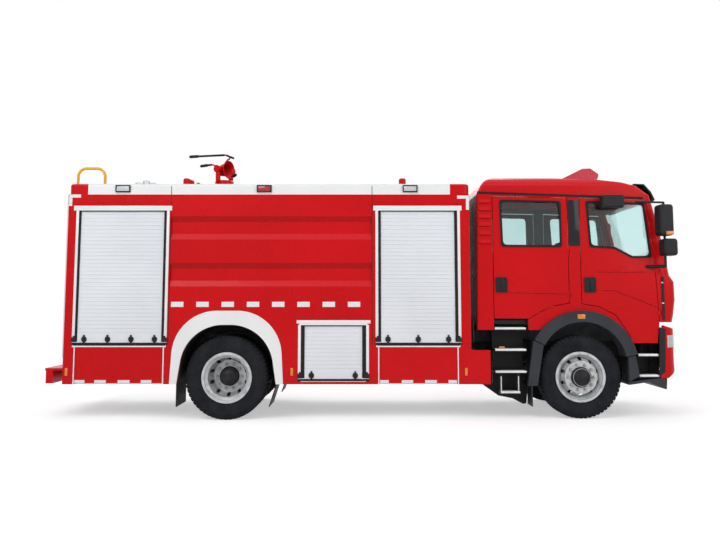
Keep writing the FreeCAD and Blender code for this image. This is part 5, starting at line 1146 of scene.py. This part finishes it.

# Front corner slots
# Black slots in the cab's front corners, painted shade over the recess in each corner, with two
# bright bars across each as painted highlights where glints fall, and the
# black end plates between the bumper and the front steps.

# Painted shade: a black slab over the corner recess. Painted highlights: two bright bars across it.
shaded_slot_opening = (3.815, 3.846, 1.245, 1.800)
glint_bar_x = (3.812, 3.838)
glint_bar_zs = (1.459, 1.720)
bumper_end = ((3.765, 1.156), (3.842, 1.130), (3.820, 0.591), (3.740, 0.528))
bumper_end_ys = (1.1475, 1.1515)
bm = bmesh.new()
glint_bars = bmesh.new()
plates = bmesh.new()
for side, sign in SIDES:
    add_side_slab(bm, sign, *shaded_slot_opening, 0.0025, 0.010, 0.0, cab_y)
    for z in glint_bar_zs:
        add_side_slab(glint_bars, sign, *glint_bar_x, z - half_bar, z + half_bar, 0.0050, 0.004, 0.001, cab_y)
    add_prism(plates, *[[plates.verts.new((x, sign * y, z)) for x, z in bumper_end] for y in bumper_end_ys])
new_piece("cab_corner_shade_slots", bm, moulding, "cab")
new_piece("cab_slot_glints", glint_bars, tread_alloy, "cab")
new_piece("bumper_end_plates", plates, moulding, "chassis")

# Mirror lamps
# Amber side repeaters let into the foot of each main mirror housing.

mirror_lamp = (3.788, 3.884, 2.316, 2.360)
mirror_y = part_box("mirrors_left")[1].y
for side, sign in SIDES:
    bm = bmesh.new()
    add_side_slab(bm, sign, *mirror_lamp, 0.004, 0.010, 0.004, mirror_y)
    new_piece("mirror_lamp_" + side, bm, amber_lens, "front_door_" + side)

# Headlamps and light bar
# Clear headlamp covers in the bumper, clear corner lamps round its ends, and a red moulded light
# bar on the roof whose foot under the lens is darkened to near black as painted shade.

bar_red = coloured_lens("light_bar_lens", (0.66, 0.012, 0.050), (0.50, 0.008, 0.030))
# Painted shade: a box along the bar's foot, under its lens, is mixed to near black.
painted_gap_shade = ((2.60, -0.80, 3.080), (3.145, 0.80, 3.176))
mix_colour(bar_red, within(bar_red, *painted_gap_shade), (0.020, 0.006, 0.006))
dress(clear, "headlamps")
dress(bar_red, "light_bar")
lamp_front_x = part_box("front_bumper")[1].x
bumper_half_width = 1.150
corner_radius = 0.190
bow = 0.060
corner_lamp_z = (0.894, 1.052)
corner_steps = 12
corner_turn = (18, 90)
lens_section = ((0.0, -0.002), (0.03, 0.006), (0.5, 0.008), (0.97, 0.006), (1.0, -0.002))


def corner_lamp(sign):
    # A lens that follows the plan of the bumper round its corner.
    bm = bmesh.new()
    centre = Vector((lamp_front_x - bow - corner_radius, sign * (bumper_half_width - corner_radius), 0.0))
    columns = []
    for index in range(corner_steps + 1):
        turn = math.radians(corner_turn[0] + (corner_turn[1] - corner_turn[0]) * index / corner_steps)
        out = Vector((math.sin(turn), sign * math.cos(turn), 0.0))
        column = []
        for height, proud in lens_section:
            place = centre + out * (corner_radius + proud)
            z = corner_lamp_z[0] + (corner_lamp_z[1] - corner_lamp_z[0]) * height
            column.append(bm.verts.new((place.x, place.y, z)))
        columns.append(column)
    for before, after in zip(columns, columns[1:]):
        for index in range(len(lens_section) - 1):
            bm.faces.new((before[index], before[index + 1], after[index + 1], after[index]))
    bm.faces.new(columns[0])
    bm.faces.new(columns[-1])
    return bm


for side, sign in SIDES:
    new_piece("corner_lamp_" + side, corner_lamp(sign), clear, "chassis")

# Seats
# Two front seats and a rear bench. Each is foam under dark woven cloth with sewn channels, on a
# moulded base, and the headrests stand on steel posts. A short cloth run swells the foam, then
# the channels are pressed in.


def seat_cloth():
    material = new_finish("woven_seat_cloth", (0.030, 0.032, 0.036), 0.85)
    shader_of(material).inputs["Sheen Weight"].default_value = 0.3
    weave = ripples(material, 160.0, 1.5)
    vary_colour(material, weave, (0.022, 0.024, 0.028), (0.050, 0.052, 0.058))
    raise_surface(material, weave, 0.4, 0.0008)
    return material


cloth = seat_cloth()
dress(moulding, "seats", "dashboard")
foam_inset = 0.016
foam_cap = 0.024
foam_pressure = 4.0
cloth_frames = 20
channel_half_width = 0.011
channel_depth = 0.012
cushion_x = (0.050, 0.518)
back_x = (-0.074, 0.046)
rest_x = (-0.062, 0.030)
seat_z = (1.434, 1.560)
back_z = (1.470, 2.176)
rest_z = (2.186, 2.368)
seat_half_width = 0.233
bench_half_width = 0.976
rest_half_width = 0.138
front_seat_x = 2.930
front_seat_y = 0.685
bench_x = 1.595
bench_rest_ys = (("right", -0.686), ("middle", 0.0), ("left", 0.686))
back_channels = (1.640, 1.780, 1.920, 2.060)
front_channels = (-0.130, 0.0, 0.130)
bench_channels = (-0.720, -0.520, -0.320, 0.0, 0.320, 0.520, 0.720)
fine_voxel = 0.011
middle_voxel = 0.014
coarse_voxel = 0.020
# Each pad: its length, half its width, its height, the size of its voxels, then its channels.
front_pads = {
    "cushion": (cushion_x, seat_half_width, seat_z, middle_voxel, front_channels),
    "back": (back_x, seat_half_width, back_z, middle_voxel, back_channels),
    "headrest": (rest_x, rest_half_width, rest_z, fine_voxel, ()),
}
bench_pads = {
    "cushion": (cushion_x, bench_half_width, seat_z, coarse_voxel, bench_channels),
    "back": (back_x, bench_half_width, back_z, coarse_voxel, back_channels),
}


def foam_block(name, span_x, half_width, span_z, voxel):
    bm = bmesh.new()
    inset = Vector((foam_inset, foam_inset, foam_inset))
    add_block(bm, Vector((span_x[0], -half_width, span_z[0])) + inset,
              Vector((span_x[1], half_width, span_z[1])) - inset, foam_inset)
    mesh = bpy.data.meshes.new(name)
    bm.to_mesh(mesh)
    bm.free()
    block = bpy.data.objects.new(name, mesh)
    bpy.context.scene.collection.objects.link(block)
    fine = block.modifiers.new("fine", "REMESH")
    fine.mode = "VOXEL"
    fine.voxel_size = voxel
    block.data = bpy.data.meshes.new_from_object(block.evaluated_get(bpy.context.evaluated_depsgraph_get()))
    block.modifiers.clear()
    return block


def swell(block):
    # Pressure fills the cover like foam. No point moves farther than the cap.
    cover = block.modifiers.new("cover", "CLOTH")
    cover.settings.use_pressure = True
    cover.settings.uniform_pressure_force = foam_pressure
    cover.settings.effector_weights.gravity = 0.0
    cover.settings.quality = 4
    cover.point_cache.frame_end = cloth_frames
    for step in range(1, cloth_frames + 1):
        bpy.context.scene.frame_set(step)
    full = block.evaluated_get(bpy.context.evaluated_depsgraph_get()).to_mesh()
    moves = [after.co - before.co for before, after in zip(block.data.vertices, full.vertices)]
    block.modifiers.clear()
    bpy.context.scene.frame_set(1)
    for vert, move in zip(block.data.vertices, moves):
        vert.co += move * min(1.0, foam_cap / max(move.length, 1e-6))


def press_channels(block, axis, places):
    # Sewn channels across the face that is sat on or leant on, fading out at the pad's edges.
    inward = Vector((0, 0, -1)) if axis == 1 else Vector((-1, 0, 0))
    for vert in block.data.vertices:
        facing = max(0.0, -vert.normal.dot(inward))
        share = sum(math.exp(-((vert.co[axis] - place) / channel_half_width) ** 2) for place in places)
        vert.co += inward * channel_depth * share * facing


def fit_pad(block, move):
    # Moves a pad to its seat, smooths it and hangs it on the cab.
    for vert in block.data.vertices:
        vert.co += move
    smooth = block.modifiers.new("smooth", "SUBSURF")
    smooth.levels = 1
    smooth.render_levels = 1
    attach(block, "cab")
    return block


def new_pad(name, kind, form, move):
    block = foam_block(name, *form[:4])
    swell(block)
    press_channels(block, 1 if kind == "cushion" else 2, form[4])
    block.data.shade_smooth()
    block.data.materials.append(cloth)
    return fit_pad(block, move)


def copied_pad(first, name, move):
    block = bpy.data.objects.new(name, first.data.copy())
    bpy.context.scene.collection.objects.link(block)
    return fit_pad(block, move)


for kind, form in front_pads.items():
    name = "front_seat_" + kind
    first = new_pad(name + "_right", kind, form, Vector((front_seat_x, -front_seat_y, 0.0)))
    copied_pad(first, name + "_left", Vector((0.0, 2 * front_seat_y, 0.0)))
for kind, form in bench_pads.items():
    new_pad("rear_bench_" + kind, kind, form, Vector((bench_x, 0.0, 0.0)))
rest = bpy.data.objects["front_seat_headrest_right"]
for place, y in bench_rest_ys:
    copied_pad(rest, "rear_bench_headrest_" + place, Vector((bench_x - front_seat_x, y + front_seat_y, 0.0)))

# Seat bases
# Boxes with three ribs along their fronts, under moulded pans. Two posts carry each headrest.

cab_floor_z = 1.242
base_height = 0.120
base_reach = (0.040, 0.480)
pan_reach = (0.010, 0.500)
base_rib_count = 3
base_spans = ((front_seat_x, -0.815, -0.555), (front_seat_x, 0.555, 0.815), (bench_x, -0.875, 0.875))
pan_overhang = 0.060
rib_pitch = 0.032
post_radius = 0.007
post_gaps = (-0.060, 0.060)
post_reach = 0.060
rest_places = [(front_seat_x, -front_seat_y), (front_seat_x, front_seat_y)]
rest_places += [(bench_x, y) for place, y in bench_rest_ys]
bm = bmesh.new()
for x, y0, y1 in base_spans:
    add_block(bm, (x + base_reach[0], y0, cab_floor_z),
              (x + base_reach[1], y1, cab_floor_z + base_height), 0.012)
    add_block(bm, (x + pan_reach[0], y0 - pan_overhang, cab_floor_z + base_height - 0.010),
              (x + pan_reach[1], y1 + pan_overhang, seat_z[0] + 0.030), 0.014)
    for index in range(base_rib_count):
        foot = cab_floor_z + 0.020 + rib_pitch * index
        add_block(bm, (x + 0.476, y0 + 0.020, foot), (x + 0.484, y1 - 0.020, foot + 0.018), 0.002)
for x, y in rest_places:
    for gap in post_gaps:
        add_rod(bm, (x - 0.018, y + gap, back_z[1] - post_reach),
                (x - 0.018, y + gap, rest_z[0] + post_reach), post_radius)
bases = new_piece("seat_bases", bm, moulding, "cab")
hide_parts("seats")

# Studio
# A pale floor that fades into the white backdrop, lit by large soft lamps. The camera stands
# well back to the right of the vehicle at eye height, where the photograph was taken.

camera_place = (-0.065, -12.31, 1.498)
focal_pixels = 864.0
image_width = 720
sensor_width = 36.0
look_up = math.atan(0.116)
sky_strength = 0.42
shift_up = -0.0975
floor_reach = 60.0
floor_glow = 0.46
fade_from = 7.0
fade_to = 15.0


def seen_directly(tree):
    # One for what the camera sees straight, in gloss or through glass.
    rays = tree.nodes.new("ShaderNodeLightPath").outputs
    seen = worked_out(tree, "MAXIMUM", rays["Is Camera Ray"], rays["Is Glossy Ray"])
    return worked_out(tree, "MAXIMUM", seen, rays["Is Transmission Ray"])


def blend_shaders(tree, share, first, second):
    mix = tree.nodes.new("ShaderNodeMixShader")
    tree.links.new(share, mix.inputs["Fac"])
    tree.links.new(first, mix.inputs[1])
    tree.links.new(second, mix.inputs[2])
    return mix.outputs[0]


def backdrop():
    world = bpy.data.worlds.new("studio")
    bpy.context.scene.world = world
    world.use_nodes = True
    tree = world.node_tree
    sky = tree.nodes["Background"]
    sky.inputs["Color"].default_value = (0.96, 0.98, 1.0, 1.0)
    sky.inputs["Strength"].default_value = sky_strength
    white_wall = tree.nodes.new("ShaderNodeBackground")
    white_wall.inputs["Strength"].default_value = 1.0
    white_wall.inputs["Color"].default_value = (1.0, 1.0, 1.0, 1.0)
    seen = blend_shaders(tree, seen_directly(tree), sky.outputs[0], white_wall.outputs[0])
    tree.links.new(seen, tree.nodes["World Output"].inputs["Surface"])


def pale_floor():
    # Matt paint that glows a little where it is seen, so that only the shadow is left grey, and
    # turns into the white of the backdrop far from the vehicle.
    material = new_finish("pale_floor", (0.86, 0.86, 0.86), 0.9)
    vary_roughness(material, blotches(material, 0.5), 0.85, 0.95)
    tree = material.node_tree
    seen = seen_directly(tree)
    glow = tree.nodes.new("ShaderNodeEmission")
    tree.links.new(worked_out(tree, "MULTIPLY", seen, floor_glow), glow.inputs["Strength"])
    both = tree.nodes.new("ShaderNodeAddShader")
    tree.links.new(shader_of(material).outputs[0], both.inputs[0])
    tree.links.new(glow.outputs[0], both.inputs[1])
    away = worked_out(tree, "LENGTH", place_of(material), None, "VectorMath")
    faded = worked_out(tree, "MULTIPLY", spread(material, away, 0.0, 1.0, fade_from, fade_to), seen)
    white_glow = tree.nodes.new("ShaderNodeEmission")
    surface = blend_shaders(tree, faded, both.outputs[0], white_glow.outputs[0])
    tree.links.new(surface, tree.nodes["Material Output"].inputs["Surface"])
    return material


backdrop()
floor_mesh = bpy.data.meshes.new("studio_floor")
corners = [(x * floor_reach, y * floor_reach, 0) for x, y in ((-1, -1), (1, -1), (1, 1), (-1, 1))]
floor_mesh.from_pydata(corners, [], [(0, 1, 2, 3)])
floor_mesh.materials.append(pale_floor())
floor = bpy.data.objects.new("studio_floor", floor_mesh)
bpy.context.scene.collection.objects.link(floor)


def soft_lamp(name, place, target, size, power):
    data = bpy.data.lights.new(name, "AREA")
    data.shape = "SQUARE"
    data.size = size
    data.energy = power
    lamp = bpy.data.objects.new(name, data)
    bpy.context.scene.collection.objects.link(lamp)
    lamp.location = place
    aim = Vector(target) - Vector(place)
    lamp.rotation_euler = aim.to_track_quat("-Z", "Y").to_euler()


soft_lamp("key_lamp", (-5.0, -11.0, 9.0), (0.0, 0.0, 1.5), 7.0, 700.0)
soft_lamp("fill_lamp", (8.0, -8.0, 5.0), (1.5, 0.0, 1.5), 6.0, 245.0)
soft_lamp("back_lamp", (0.0, 10.0, 9.0), (0.0, 0.0, 1.5), 8.0, 500.0)

camera_data = bpy.data.cameras.new("photograph_camera")
camera_data.sensor_width = sensor_width
camera_data.lens = focal_pixels / image_width * sensor_width
camera_data.shift_y = shift_up
camera_data.clip_end = 200.0
camera = bpy.data.objects.new("photograph_camera", camera_data)
bpy.context.scene.collection.objects.link(camera)
camera.location = camera_place
camera.rotation_euler = (math.pi / 2 + look_up, 0.0, 0.0)
bpy.context.scene.camera = camera
bpy.context.scene.view_settings.view_transform = "Standard"
